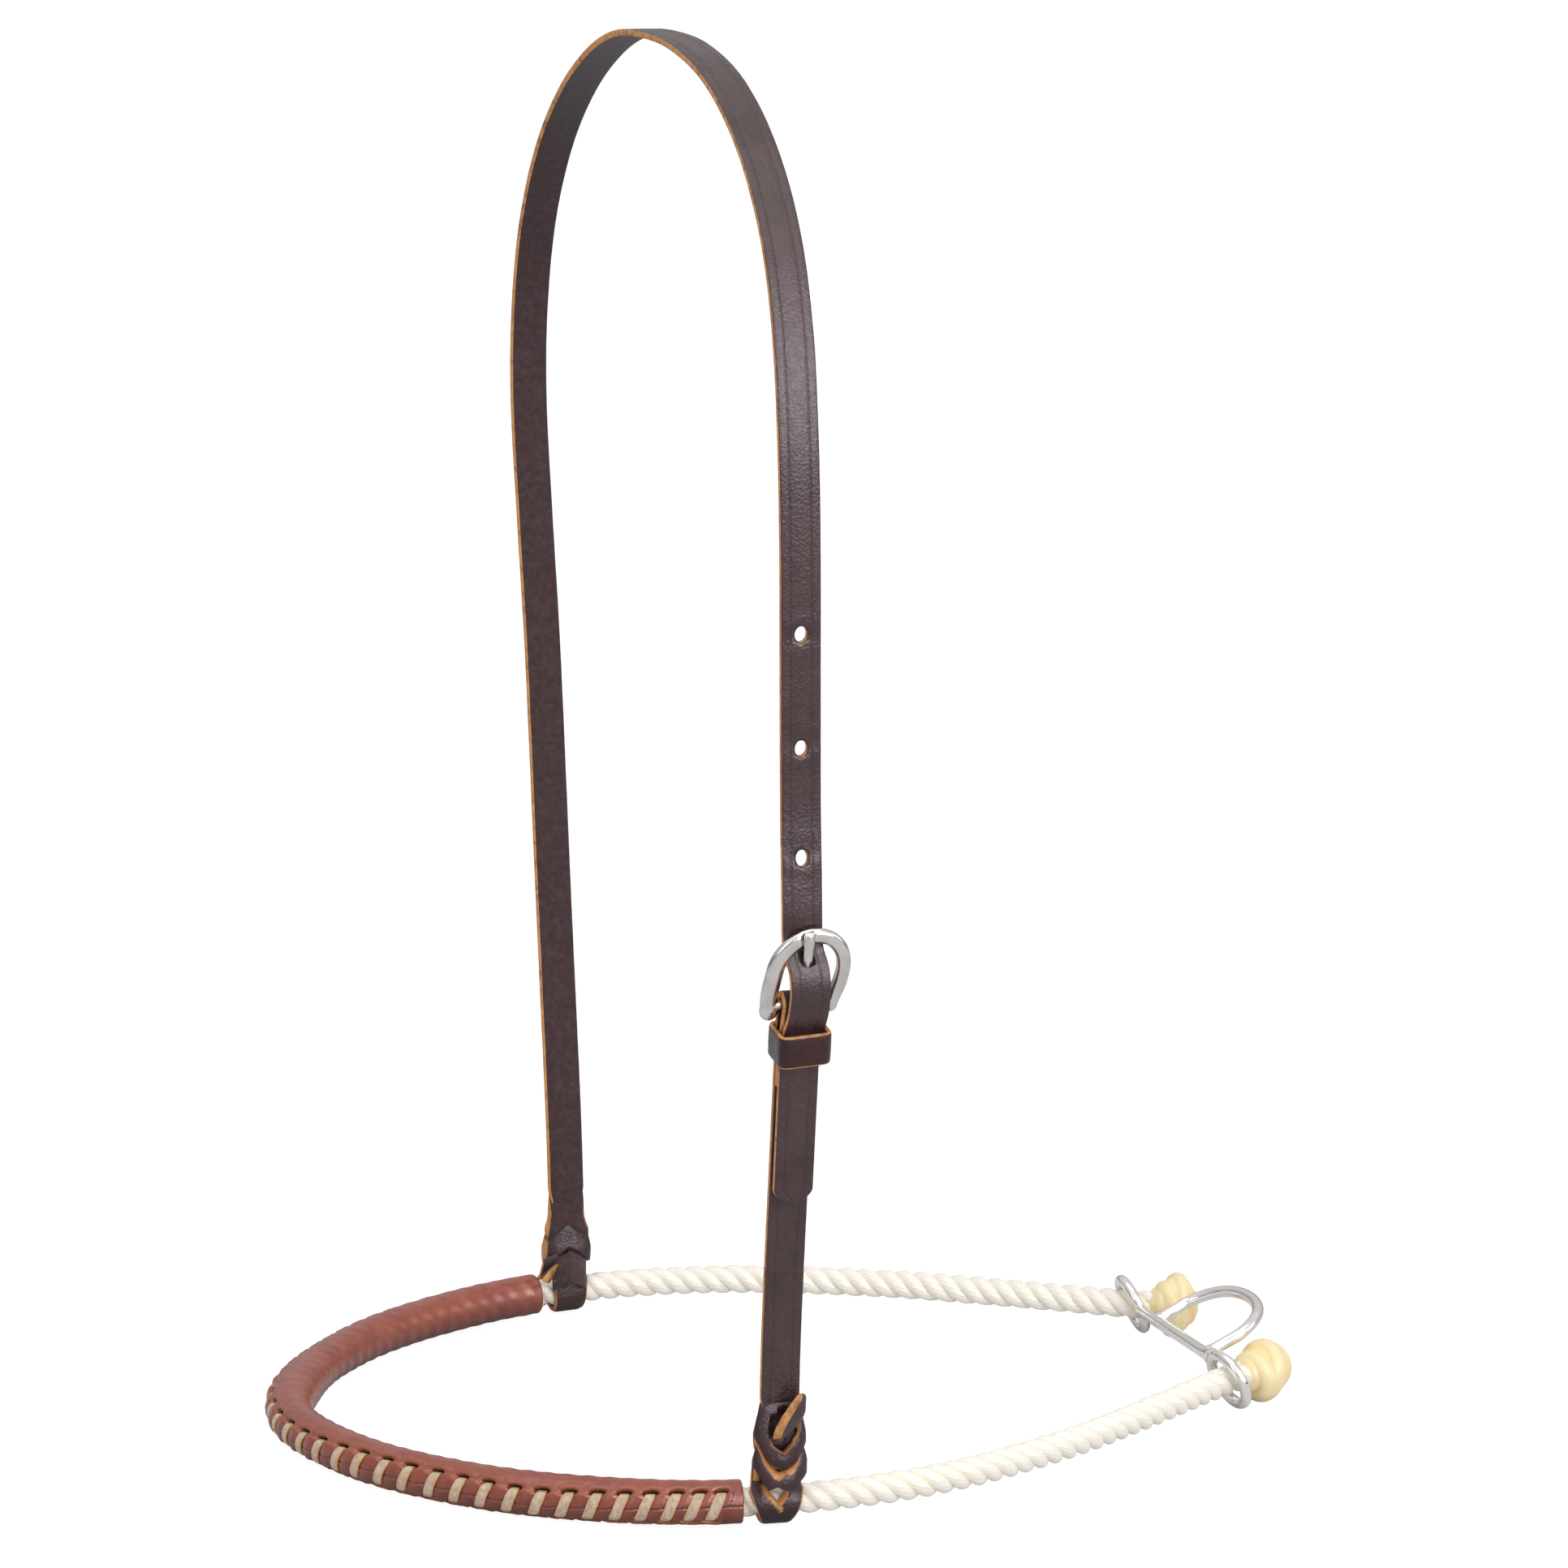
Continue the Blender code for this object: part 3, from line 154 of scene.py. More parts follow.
SENSOR_WIDTH = 36


# Curves and frames

def heading_at(points, i, reach=1):
    """Direction of a chain of points at one of them."""
    return (points[min(len(points) - 1, i + reach)] - points[max(0, i - reach)]).normalized()


def circle(count):
    """Cosines and sines at even steps round a circle."""
    angles = [2 * math.pi * k / count for k in range(count)]
    return [(math.cos(angle), math.sin(angle)) for angle in angles]


def resample(points, spacing):
    """Points at even steps along a chain of points."""
    lengths = [0.0]
    for before, after in zip(points, points[1:]):
        lengths.append(lengths[-1] + (after - before).length)
    count = max(1, round(lengths[-1] / spacing))
    even = []
    index = 0
    for step in range(count + 1):
        wanted = lengths[-1] * step / count
        while index < len(points) - 2 and lengths[index + 1] < wanted:
            index += 1
        share = (wanted - lengths[index]) / (lengths[index + 1] - lengths[index])
        even.append(points[index].lerp(points[index + 1], min(1.0, share)))
    return even


def smooth_path(knots, spacing):
    """Even points on one smooth curve through the knots."""
    directions = [heading_at(knots, i) for i in range(len(knots))]
    dense = []
    for i in range(len(knots) - 1):
        reach = (knots[i + 1] - knots[i]).length / 3
        leave = knots[i] + directions[i] * reach
        arrive = knots[i + 1] - directions[i + 1] * reach
        dense += interpolate_bezier(knots[i], leave, arrive, knots[i + 1], 24)[:-1]
    dense.append(knots[-1])
    return resample(dense, spacing)


def rope_height(back):
    """Height of the rope's centre at a distance behind the nose."""
    return NOSE_HEIGHT + (REAR_HEIGHT - NOSE_HEIGHT) * back / ROPE_ROUTE[-1][0]


FAR_ROUTE = [Vector((back - ORIGIN_BACK, out, rope_height(back))) for back, out in ROPE_ROUTE]
NEAR_ROUTE = [Vector((p.x, -p.y, p.z)) for p in FAR_ROUTE[1:]]
ROPE_LINE = smooth_path(list(reversed(NEAR_ROUTE)) + FAR_ROUTE, 0.001)
for point in ROPE_LINE:
    # The nose stands further forward than the CAD's route, most just to the far side of its middle
    if point.x < -0.1:
        point.x -= 0.0019 * math.exp(-((point.y - 0.010) / 0.024) ** 2)
        point.x -= 0.0010 * math.exp(-((point.y + 0.002) / 0.024) ** 2)
ROPE_STEP = (ROPE_LINE[1] - ROPE_LINE[0]).length
ROPE_MIDDLE = (len(ROPE_LINE) - 1) / 2
ROPE_HALF = ROPE_MIDDLE * ROPE_STEP


class RopeFrame:
    """Centre and directions of the rope at a distance along it from the nose."""

    def __init__(self, distance):
        place = min(len(ROPE_LINE) - 1.0, max(0.0, ROPE_MIDDLE + distance / ROPE_STEP))
        index = min(len(ROPE_LINE) - 2, int(place))
        share = place - index
        self.centre = ROPE_LINE[index].lerp(ROPE_LINE[index + 1], share)
        low, high = heading_at(ROPE_LINE, index, 3), heading_at(ROPE_LINE, index + 1, 3)
        self.along = low.lerp(high, share).normalized()
        self.out = Vector((0, 0, 1)).cross(self.along).normalized()
        self.up = self.along.cross(self.out)

    def away(self, angle):
        """Direction away from the rope's centre; 0 is outwards and a quarter turn upwards."""
        return self.out * math.cos(angle) + self.up * math.sin(angle)

    def point(self, angle, radius, ahead=0.0):
        """A point round the rope, or that far ahead of it."""
        return self.centre + self.away(angle) * radius + self.along * ahead


def distance_at(back):
    """Distance along the rope from the nose to a place that far behind it."""
    wanted = back - ORIGIN_BACK
    index = int(ROPE_MIDDLE)
    while ROPE_LINE[index].x < wanted:
        index += 1
    before, after = ROPE_LINE[index - 1].x, ROPE_LINE[index].x
    return (index - 1 + (wanted - before) / (after - before) - ROPE_MIDDLE) * ROPE_STEP


KNOT_DISTANCE = distance_at(KNOT_BACK)
COVER_HALF = distance_at(COVER_END_BACK)
KNOT_X = KNOT_BACK - ORIGIN_BACK
KNOT_Z = rope_height(KNOT_BACK)
KNOT_OUT = FAR_CHEEK[0][0]
PIVOT = (Matrix.Translation((KNOT_X, 0, KNOT_Z + PIVOT_HEIGHT))
         @ Matrix.Rotation(HEADSTALL_LEAN, 4, "Y"))


def headstall_point(out, height, side):
    """A point of the headstall's middle line."""
    away = min(1.0, abs(height - 0.32) / 0.14)
    bow = -0.003 * math.cos(away * math.pi / 2) ** 2
    return PIVOT @ Vector((bow, side * out, height - PIVOT_HEIGHT))


def cheek_point(out, above, across=0.0):
    """A point on the near cheek, outwards from its back layer and above the buckle's bar."""
    lean_out = BAR_OUT + above * math.sin(CHEEK_LEAN) + out * math.cos(CHEEK_LEAN)
    height = BAR_HEIGHT + above * math.cos(CHEEK_LEAN) - out * math.sin(CHEEK_LEAN)
    return PIVOT @ Vector((across, -lean_out, height - PIVOT_HEIGHT))


CHEEK = (PIVOT @ Matrix.Translation((0, -BAR_OUT, BAR_HEIGHT - PIVOT_HEIGHT))
         @ Matrix.Rotation(CHEEK_LEAN, 4, "X"))
BUCKLE = (CHEEK @ Matrix.Translation((BUCKLE_SHIFT, -FOLD_RADIUS, 0))
          @ Matrix.Rotation(FRAME_LEAN, 4, "X"))
EYES = RopeFrame(distance_at(EYE_BACK))
HARDWARE = (Matrix.Translation((EYES.centre.x, 0, EYES.centre.z))
            @ Matrix.Rotation(-HARDWARE_TILT, 4, "Y"))


def ease(value):
    """Smooth step from 0 to 1."""
    value = min(1.0, max(0.0, value))
    return value * value * (3 - 2 * value)


def rough(point, scale, seed=0.0):
    """Smooth noise between about -1 and 1 at a place."""
    return noise.noise(Vector(point) * scale + Vector((seed, 2 * seed, 3 * seed)))


# Meshes

class Shape:
    """Gathers lofted skins into one mesh, with finish slots, lengths and two masks: painted shade, and golden
    or orange rims.
    """

    def __init__(self):
        self.verts = []
        self.faces = []
        self.slots = []
        self.uvs = []
        self.mark = []
        self.rim = []

    def loft(self, rings, closed=False, slots=None, mark=None, rim=None, capped=True, cap_slot=0):
        """A skin over rings of equal length; a closed loft joins its last ring to its first."""
        base = len(self.verts)
        rows, count = len(rings), len(rings[0])
        self.verts += [tuple(point) for ring in rings for point in ring]
        self.mark += mark if mark else [0.0] * (rows * count)
        self.rim += rim if rim else [0.0] * (rows * count)
        along = [0.0]
        for r in range(rows):
            along.append(along[-1] + (rings[(r + 1) % rows][0] - rings[r][0]).length)
        around = [0.0]
        for i in range(count):
            middle = rings[rows // 2]
            around.append(around[-1] + (middle[(i + 1) % count] - middle[i]).length)
        for r in range(rows if closed else rows - 1):
            low = base + r * count
            high = base + ((r + 1) % rows) * count
            for i in range(count):
                j = (i + 1) % count
                self.faces.append((low + i, low + j, high + j, high + i))
                self.slots.append(slots[i] if slots else 0)
                self.uvs += [(along[r], around[i]), (along[r], around[i + 1]),
                             (along[r + 1], around[i + 1]), (along[r + 1], around[i])]
        if not closed and capped:
            for ring in (list(reversed(range(count))), [(rows - 1) * count + i for i in range(count)]):
                self.faces.append(tuple(base + i for i in ring))
                self.slots.append(cap_slot)
                self.uvs += [(self.verts[base + i][0], self.verts[base + i][2]) for i in ring]
        return self

    def build(self, name, looks):
        """The finished object."""
        mesh = bpy.data.meshes.new(name)
        mesh.from_pydata(self.verts, [], self.faces)
        layer = mesh.uv_layers.new(name="lengths")
        layer.data.foreach_set("uv", [value for uv in self.uvs for value in uv])
        mesh.polygons.foreach_set("material_index", self.slots)
        for title, values in (("mark", self.mark), ("rim", self.rim)):
            mesh.attributes.new(title, "FLOAT", "POINT").data.foreach_set("value", values)
        for look in looks:
            mesh.materials.append(look)
        work = bmesh.new()
        work.from_mesh(mesh)
        bmesh.ops.recalc_face_normals(work, faces=work.faces)
        work.to_mesh(mesh)
        work.free()
        mesh.shade_smooth()
        thing = bpy.data.objects.new(name, mesh)
        bpy.context.scene.collection.objects.link(thing)
        return thing


def tube_rings(points, radius, sides):
    """Round rings along a path; radius is one number or one for each point."""
    rings = []
    normal = Vector((0, 0, 1))
    for i, point in enumerate(points):
        ahead = heading_at(points, i)
        normal = (normal - ahead * normal.dot(ahead)).normalized()
        side = ahead.cross(normal)
        size = radius[i] if isinstance(radius, list) else radius
        rings.append([point + normal * (size * cos) + side * (size * sin) for cos, sin in circle(sides)])
    return rings


def ellipsoid_rings(matrix, sizes):
    """Rings of an ellipsoid with small flat poles."""
    rings = []
    rows = 12
    for r in range(rows + 1):
        angle = math.pi * (0.02 + 0.96 * r / rows)
        wide, deep, level = sizes[0] * math.sin(angle), sizes[1] * math.sin(angle), sizes[2] * math.cos(angle)
        rings.append([matrix @ Vector((wide * cos, deep * sin, level)) for cos, sin in circle(20)])
    return rings


def squarish(value, power):
    """A cosine or sine, bent so that its circle becomes squarer."""
    return math.copysign(abs(value) ** power, value)


def apply_modifiers(thing):
    """Bake an object's modifiers into its mesh."""
    graph = bpy.context.evaluated_depsgraph_get()
    mesh = bpy.data.meshes.new_from_object(thing.evaluated_get(graph))
    thing.modifiers.clear()
    thing.data = mesh


def fuse(thing, voxel, smoothing):
    """Melt overlapping skins into one smooth solid."""
    remesh = thing.modifiers.new("fuse", "REMESH")
    remesh.mode = "VOXEL"
    remesh.voxel_size = voxel
    relax = thing.modifiers.new("relax", "SMOOTH")
    relax.factor = 0.5
    relax.iterations = smoothing
    look = thing.data.materials[0]
    apply_modifiers(thing)
    thing.data.materials.clear()
    thing.data.materials.append(look)
    thing.data.shade_smooth()


def carve(thing, cutter):
    """Cut a hole; the cutter's finish slots line the hole."""
    modifier = thing.modifiers.new("hole", "BOOLEAN")
    modifier.operation = "DIFFERENCE"
    modifier.solver = "EXACT"
    modifier.object = cutter
    apply_modifiers(thing)
    bpy.data.objects.remove(cutter, do_unlink=True)


def set_mask(thing, title, function):
    """Fill a mask of the mesh from each point's place."""
    mesh = thing.data
    attribute = mesh.attributes.get(title) or mesh.attributes.new(title, "FLOAT", "POINT")
    attribute.data.foreach_set("value", [function(vertex.co) for vertex in mesh.vertices])


def place(thing, body, *nodes):
    """Ride on a body in place of CAD nodes."""
    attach(thing, body)
    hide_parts(*nodes)


# Finishes

MIX_FIRST, MIX_SECOND, MIX_RESULT = 6, 7, 2


def set_inputs(node, **settings):
    """Put constants on a node's inputs; an underscore stands for a space."""
    for title, value in settings.items():
        node.inputs[title.replace("_", " ")].default_value = value
    return node


def add_node(tree, kind, **settings):
    """A new shader node with constants on its inputs."""
    return set_inputs(tree.nodes.new("ShaderNode" + kind), **settings)


class Look:
    """A material built from a Principled shader and procedural nodes."""

    def __init__(self, name, roughness, metallic=0.0, **settings):
        self.material = bpy.data.materials.new(name)
        self.material.use_nodes = True
        self.tree = self.material.node_tree
        self.shader = self.tree.nodes["Principled BSDF"]
        set_inputs(self.shader, Roughness=roughness, Metallic=metallic, **settings)
        coordinates = add_node(self.tree, "TexCoord")
        self.place = coordinates.outputs["Object"]
        self.lengths = coordinates.outputs["UV"]

    def wire(self, target, value):
        """Link an output to an input, or set a constant on it."""
        if isinstance(value, bpy.types.NodeSocket):
            self.tree.links.new(value, target)
        elif isinstance(value, tuple):
            target.default_value = (*value, 1.0)[:4] if target.type == "RGBA" else value
        else:
            target.default_value = value

    def noise(self, scale, detail=3.0):
        """Noise of the given scale per metre."""
        node = add_node(self.tree, "TexNoise", Scale=scale, Detail=detail, Roughness=0.6)
        self.wire(node.inputs["Vector"], self.place)
        return node.outputs["Fac"]

    def cells(self, scale):
        """Cells of the given scale per metre."""
        node = add_node(self.tree, "TexVoronoi", Scale=scale)
        self.wire(node.inputs["Vector"], self.place)
        return node.outputs["Distance"]

    def lines(self, scale, direction="X", source=None, turn=0.0, distortion=0.0):
        """Soft parallel lines."""
        mapping = add_node(self.tree, "Mapping", Rotation=(0, 0, turn))
        self.wire(mapping.inputs["Vector"], source or self.place)
        node = add_node(self.tree, "TexWave", Scale=scale, Distortion=distortion, Detail_Scale=2.0)
        node.bands_direction = direction
        self.wire(node.inputs["Vector"], mapping.outputs["Vector"])
        return node.outputs["Fac"]

    def mask(self, title):
        """One of the mesh's masks."""
        node = add_node(self.tree, "Attribute")
        node.attribute_name = title
        return node.outputs["Fac"]

    def spread(self, value, low, high, to_low=0.0, to_high=1.0):
        """Stretch a range of a value to another range."""
        node = add_node(self.tree, "MapRange")
        for title, setting in (("Value", value), ("From Min", low), ("From Max", high),
                               ("To Min", to_low), ("To Max", to_high)):
            self.wire(node.inputs[title], setting)
        return node.outputs["Result"]

    def mix(self, share, first, second):
        """Colour between two colours."""
        node = add_node(self.tree, "Mix")
        node.data_type = "RGBA"
        self.wire(node.inputs[0], share)
        self.wire(node.inputs[MIX_FIRST], first)
        self.wire(node.inputs[MIX_SECOND], second)
        return node.outputs[MIX_RESULT]

    def worn(self, tone):
        """The tone, golden where the rim mask is set."""
        golden = self.mix(self.noise(420, 4), (0.60, 0.31, 0.105), (0.38, 0.15, 0.05))
        return self.mix(self.mask("rim"), tone, golden)

    def colour(self, value):
        """Set the base colour."""
        self.wire(self.shader.inputs["Base Color"], value)

    def shine(self, value):
        """Set the roughness."""
        self.wire(self.shader.inputs["Roughness"], value)

    def relief(self, *layers):
        """Bumps, each a height with its depth in metres."""
        normal = None
        for height, depth in layers:
            node = add_node(self.tree, "Bump", Distance=depth)
            self.wire(node.inputs["Height"], height)
            if normal:
                self.wire(node.inputs["Normal"], normal)
            normal = node.outputs["Normal"]
        self.wire(self.shader.inputs["Normal"], normal)
        return self.material


def grain_leather(name, dark, light, dust, roughness, gloss=0.45, coat=0.15):
    """Pebbled grain side of dyed leather, with paler dust, and painted shade in the creases and under the far
    knot's plate.
    """
    look = Look(name, roughness, Specular_IOR_Level=gloss, Coat_Weight=coat, Coat_Roughness=0.25)
    pebbles = look.cells(1100)
    tone = look.mix(look.spread(look.noise(70, 3), 0.35, 0.65), dark, light)
    tone = look.mix(look.spread(look.noise(850, 4), 0.54, 0.76, 0.0, 0.35), tone, dust)
    # Painted shade: near black where the shade mask is set.
    look.colour(look.mix(look.mask("mark"), look.worn(tone), (0.009, 0.005, 0.005)))
    look.shine(look.spread(look.noise(420, 3), 0.3, 0.7, roughness - 0.08, roughness + 0.1))
    return look.relief((pebbles, 0.00012), (look.noise(2400, 4), 0.00006), (look.noise(260, 2), 0.00010))


def flesh_leather(name, dark, light):
    """Rough flesh side of the same leather, with painted shade towards the top of the crown."""
    look = Look(name, 0.85, Specular_IOR_Level=0.3, Sheen_Weight=0.15, Sheen_Roughness=0.5)
    fibres = look.noise(1300, 5)
    tone = look.mix(look.spread(look.noise(450, 4), 0.35, 0.7), dark, light)
    tone = look.mix(look.spread(look.noise(230, 4), 0.50, 0.68, 0.0, 0.6), tone, (0.045, 0.014, 0.014))
    # Painted shade: the flesh side darkens with height from 0.33 to 0.42 m, over the crown.
    split = add_node(look.tree, "SeparateXYZ")
    look.wire(split.inputs[0], look.place)
    tone = look.mix(look.spread(split.outputs[2], 0.33, 0.42, 0.0, 0.6), tone, (0.010, 0.005, 0.006))
    look.colour(look.worn(tone))
    return look.relief((fibres, 0.00015), (look.noise(300, 2), 0.0001))


def raw_leather(name, pale, deep):
    """Undyed cut edge, with darker dye soaked into it here and there."""
    look = Look(name, 0.72, Specular_IOR_Level=0.35)
    tone = look.mix(look.spread(look.noise(420, 4), 0.35, 0.7), pale, deep)
    tone = look.mix(look.spread(look.noise(210, 3), 0.56, 0.72, 0.0, 0.75), tone, (0.12, 0.045, 0.03))
    look.colour(tone)
    return look.relief((look.noise(1800, 4), 0.0001))


CHOCOLATE = grain_leather("chocolate_grain", (0.030, 0.011, 0.012), (0.048, 0.021, 0.023),
                          (0.085, 0.056, 0.060), 0.38)
FLESH = flesh_leather("chocolate_flesh", (0.034, 0.017, 0.019), (0.062, 0.036, 0.038))
RAW = raw_leather("raw_edge", (0.60, 0.30, 0.105), (0.40, 0.16, 0.055))
LEATHER = [CHOCOLATE, RAW, FLESH]
KEEPER_LEATHER = [grain_leather("keeper_grain", (0.024, 0.0045, 0.0045), (0.036, 0.008, 0.008),
                                (0.05, 0.016, 0.016), 0.34, 0.26, 0.25), RAW, FLESH]
KNOT_LEATHER = [grain_leather("knot_grain", (0.022, 0.0070, 0.0075), (0.036, 0.0135, 0.0145),
                              (0.06, 0.034, 0.036), 0.40, 0.36, 0.12), RAW, FLESH]


def chestnut_leather():
    """Oiled cover leather, with orange rims at the lace slits; painted shade in the slits, the seam's groove
    and on the undersides, and paler patches at random that stand in for highlights.
    """
    look = Look("chestnut_leather", 0.4, Specular_IOR_Level=0.5, Coat_Weight=0.34, Coat_Roughness=0.18)
    tone = look.mix(look.spread(look.noise(120, 3), 0.35, 0.65), (0.220, 0.040, 0.020), (0.290, 0.062, 0.033))
    # Paler patches at random, partly tone and partly painted highlights.
    tone = look.mix(look.spread(look.noise(700, 4), 0.55, 0.75, 0.0, 0.35), tone, (0.34, 0.10, 0.060))
    orange = look.mix(look.noise(900, 3), (0.42, 0.12, 0.035), (0.26, 0.055, 0.022))
    # Painted shade: the colour darkens where the surface faces down.
    facing = add_node(look.tree, "SeparateXYZ")
    look.wire(facing.inputs[0], add_node(look.tree, "NewGeometry").outputs["Normal"])
    tone = look.mix(look.spread(facing.outputs[2], -0.6, 0.35, 0.65, 0.0), tone, (0.06, 0.009, 0.005))
    tone = look.mix(look.mask("rim"), tone, orange)
    # Painted shade in the slits and the seam's groove, from the shade mask.
    tone = look.mix(look.mask("mark"), tone, (0.012, 0.006, 0.005))
    look.colour(tone)
    look.shine(look.spread(look.noise(400, 3), 0.3, 0.7, 0.30, 0.44))
    return look.relief((look.cells(1300), 0.00004), (look.noise(2200, 4), 0.00004))


def lace_leather():
    """Beige suede lace with golden edges."""
    look = Look("lace_leather", 0.62, Specular_IOR_Level=0.35, Sheen_Weight=0.2)
    tone = look.mix(look.spread(look.noise(650, 4), 0.3, 0.7), (0.40, 0.285, 0.19), (0.68, 0.53, 0.41))
    tone = look.mix(look.mask("rim"), tone, (0.60, 0.34, 0.12))
    look.colour(tone)
    return look.relief((look.noise(1500, 4), 0.00018))


def rope_fibre(name, crest, hollow_shade, streak, yarn):
    """Waxed rope strands with fine twisted yarns, and a warmer painted shade in the hollows."""
    look = Look(name, 0.42, Specular_IOR_Level=0.5, Coat_Weight=0.15, Coat_Roughness=0.25)
    tone = look.mix(look.spread(look.noise(260, 4), 0.35, 0.7), crest, streak)
    # Painted shade: the hollow colour where the shade mask is set.
    look.colour(look.mix(look.mask("mark"), tone, hollow_shade))
    yarns = look.lines(yarn, "Y", look.lengths, turn=0.5, distortion=1.5)
    return look.relief((yarns, 0.00010), (look.noise(1500, 4), 0.00006))


CHESTNUT = chestnut_leather()
LACE = lace_leather()
# The second colour of each is the painted shade of the hollows.
ROPE = rope_fibre("rope_strands", (0.92, 0.875, 0.795), (0.92, 0.85, 0.72), (0.90, 0.845, 0.745), 300)
BALL = rope_fibre("knot_strands", (0.86, 0.735, 0.44), (0.90, 0.655, 0.30), (0.86, 0.695, 0.37), 0.001)


def metal(name, colour, stain, roughness, wear):
    """Plated or cast metal with faint marks and a dull film in places."""
    look = Look(name, roughness, 1.0)
    look.colour(look.mix(look.spread(look.noise(170, 1.5), 0.45, 0.75, 0.0, wear), colour, stain))
    look.shine(look.spread(look.noise(300, 2), 0.3, 0.7, roughness * 0.8, roughness * 1.25))
    return look.relief((look.noise(200, 1), 0.00005))


CHROME = metal("chrome_plate", (0.86, 0.83, 0.82), (0.66, 0.63, 0.62), 0.12, 0.25)
SILVER = metal("cast_silver", (0.66, 0.63, 0.61), (0.40, 0.375, 0.365), 0.20, 0.5)


# Rope

def build_rope():
    """Three strands laid together, from one end knot to the other."""
    shape = Shape()
    reach = ROPE_HALF - 0.0062
    count = round(2 * reach / 0.0007)
    frames = [RopeFrame(reach * (2 * i / count - 1)) for i in range(count + 1)]
    turns = [2 * math.pi * reach * (2 * i / count - 1) / ROPE_LAY for i in range(count + 1)]
    sides = 16
    for strand in range(3):
        centres = []
        for spot, turn in zip(frames, turns):
            centres.append(spot.point(turn + 2 * math.pi * strand / 3, STRAND_OFFSET))
        rings = []
        mark = []
        for i, (spot, turn) in enumerate(zip(frames, turns)):
            angle = turn + 2 * math.pi * strand / 3
            away = spot.away(angle)
            course = heading_at(centres, i)
            away = (away - course * away.dot(course)).normalized()
            side = course.cross(away)
            ring = []
            for k in range(sides):
                around = 2 * math.pi * k / sides
                lump = 1 + 0.03 * rough(centres[i], 160, k * 0.3)
                ring.append(centres[i] + away * (STRAND_THICK * lump * math.cos(around))
                            + side * (STRAND_WIDE * lump * math.sin(around)))
                # Painted shade away from each strand's crest, towards the hollows between strands.
                mark.append(ease((0.72 - math.cos(around)) / 0.5))
            rings.append(ring)
        shape.loft(rings, mark=mark)
    place(shape.build("laid_rope", [ROPE]), "noseband", "rope")


VIEW_BACK = Vector((-0.2926, -0.9352, 0.1995))
VIEW_RIGHT = Vector((0.9544, -0.2987, 0.0))
VIEW_UP = Vector((0.0596, 0.1904, 0.9800))


def build_ball(name, node, side, axis, winds):
    """The rope's strands tied into a ball: fat winds round a leaning axis."""
    end = RopeFrame(side * ROPE_HALF)
    neck = end.along * -side
    core = Matrix.Translation(end.centre) @ neck.to_track_quat("Z", "Y").to_matrix().to_4x4()
    pole = (VIEW_RIGHT * axis[0] + VIEW_UP * axis[1] + VIEW_BACK * axis[2]).normalized()
    shape = Shape()
    shape.loft(ellipsoid_rings(core, BALL_CORE))
    steps = 72
    for wind, (polar, lean_up, lean_right, wide) in enumerate(winds):
        axle = (pole + VIEW_UP * lean_up + VIEW_RIGHT * lean_right).normalized()
        first = axle.cross(VIEW_UP).normalized()
        second = axle.cross(first)
        path = []
        for i in range(steps):
            angle = 2 * math.pi * i / steps
            tilt = math.radians(polar + 5 * math.sin(angle + 2.1 * wind))
            round_axle = first * math.cos(angle) + second * math.sin(angle)
            way = axle * math.cos(tilt) + round_axle * math.sin(tilt)
            radius = BALL_WINDING * (1 - 0.15 * abs(way.dot(neck)) ** 2)
            radius *= 1 + 0.025 * math.cos(2 * angle + 1.7 * wind)
            path.append((way, end.centre + way * radius))
        rings = []
        for i, (way, spot) in enumerate(path):
            ahead = (path[(i + 1) % steps][1] - path[i - 1][1]).normalized()
            away = (way - ahead * way.dot(ahead)).normalized()
            across = ahead.cross(away)
            rings.append([spot + away * (BALL_STRAND * cos) + across * (wide * MM * sin)
                          for cos, sin in circle(16)])
        shape.loft(rings, closed=True)
    collar = core @ Matrix.Translation((0, 0, 0.0066))
    shape.loft(ellipsoid_rings(collar, (0.0058, 0.0058, 0.0040)))
    ball = shape.build(name, [BALL])
    fuse(ball, 0.00027, 6)
    for vertex in ball.data.vertices:
        if side > 0:
            reach = vertex.co - end.centre
            vertex.co += (VIEW_RIGHT * (-0.13 * reach.dot(VIEW_RIGHT) - 0.0010)
                          + VIEW_UP * (0.07 * reach.dot(VIEW_UP)))
        vertex.co.z = max(vertex.co.z, FLOOR_GAP)

    # Painted shade in the hollows between the winds, strongest nearest the core.
    def depth(point):
        local = core.inverted() @ point
        level = math.sqrt((local.x / 9.9) ** 2 + (local.y / 9.9) ** 2 + (local.z / 8.5) ** 2) / MM
        return ease((0.975 - level) / 0.10)

    set_mask(ball, "mark", depth)
    place(ball, "noseband", node)


NEAR_WINDS = [(22, 0.10, 0.0, 2.6), (54, -0.26, 0.10, 2.9), (88, 0.20, -0.22, 3.1), (124, -0.16, 0.20, 3.0),
              (158, 0.1, 0.0, 2.8)]
FAR_WINDS = [(26, 0.2, 0.0, 2.8), (60, -0.15, 0.24, 2.8), (90, 0.22, -0.14, 3.0), (124, -0.22, 0.16, 2.9),
             (157, 0.0, 0.1, 2.8)]


# Nose cover and lace

SLIT_ANGLE = LACING_HALF_ANGLE + math.radians(8)


def seam_angle(distance):
    """How far the seam lies round the rope, from its outer side."""
    return math.radians(float(np.interp(distance, *zip(*SEAM_TURNS))))


def lace_phase(distance):
    """Place among the lace's loops: whole numbers are loops."""
    places = [LACE_STATIONS[0] - 0.006] + LACE_STATIONS + [LACE_STATIONS[-1] + 0.006]
    return float(np.interp(distance, places, range(-1, len(LACE_STATIONS) + 1)))


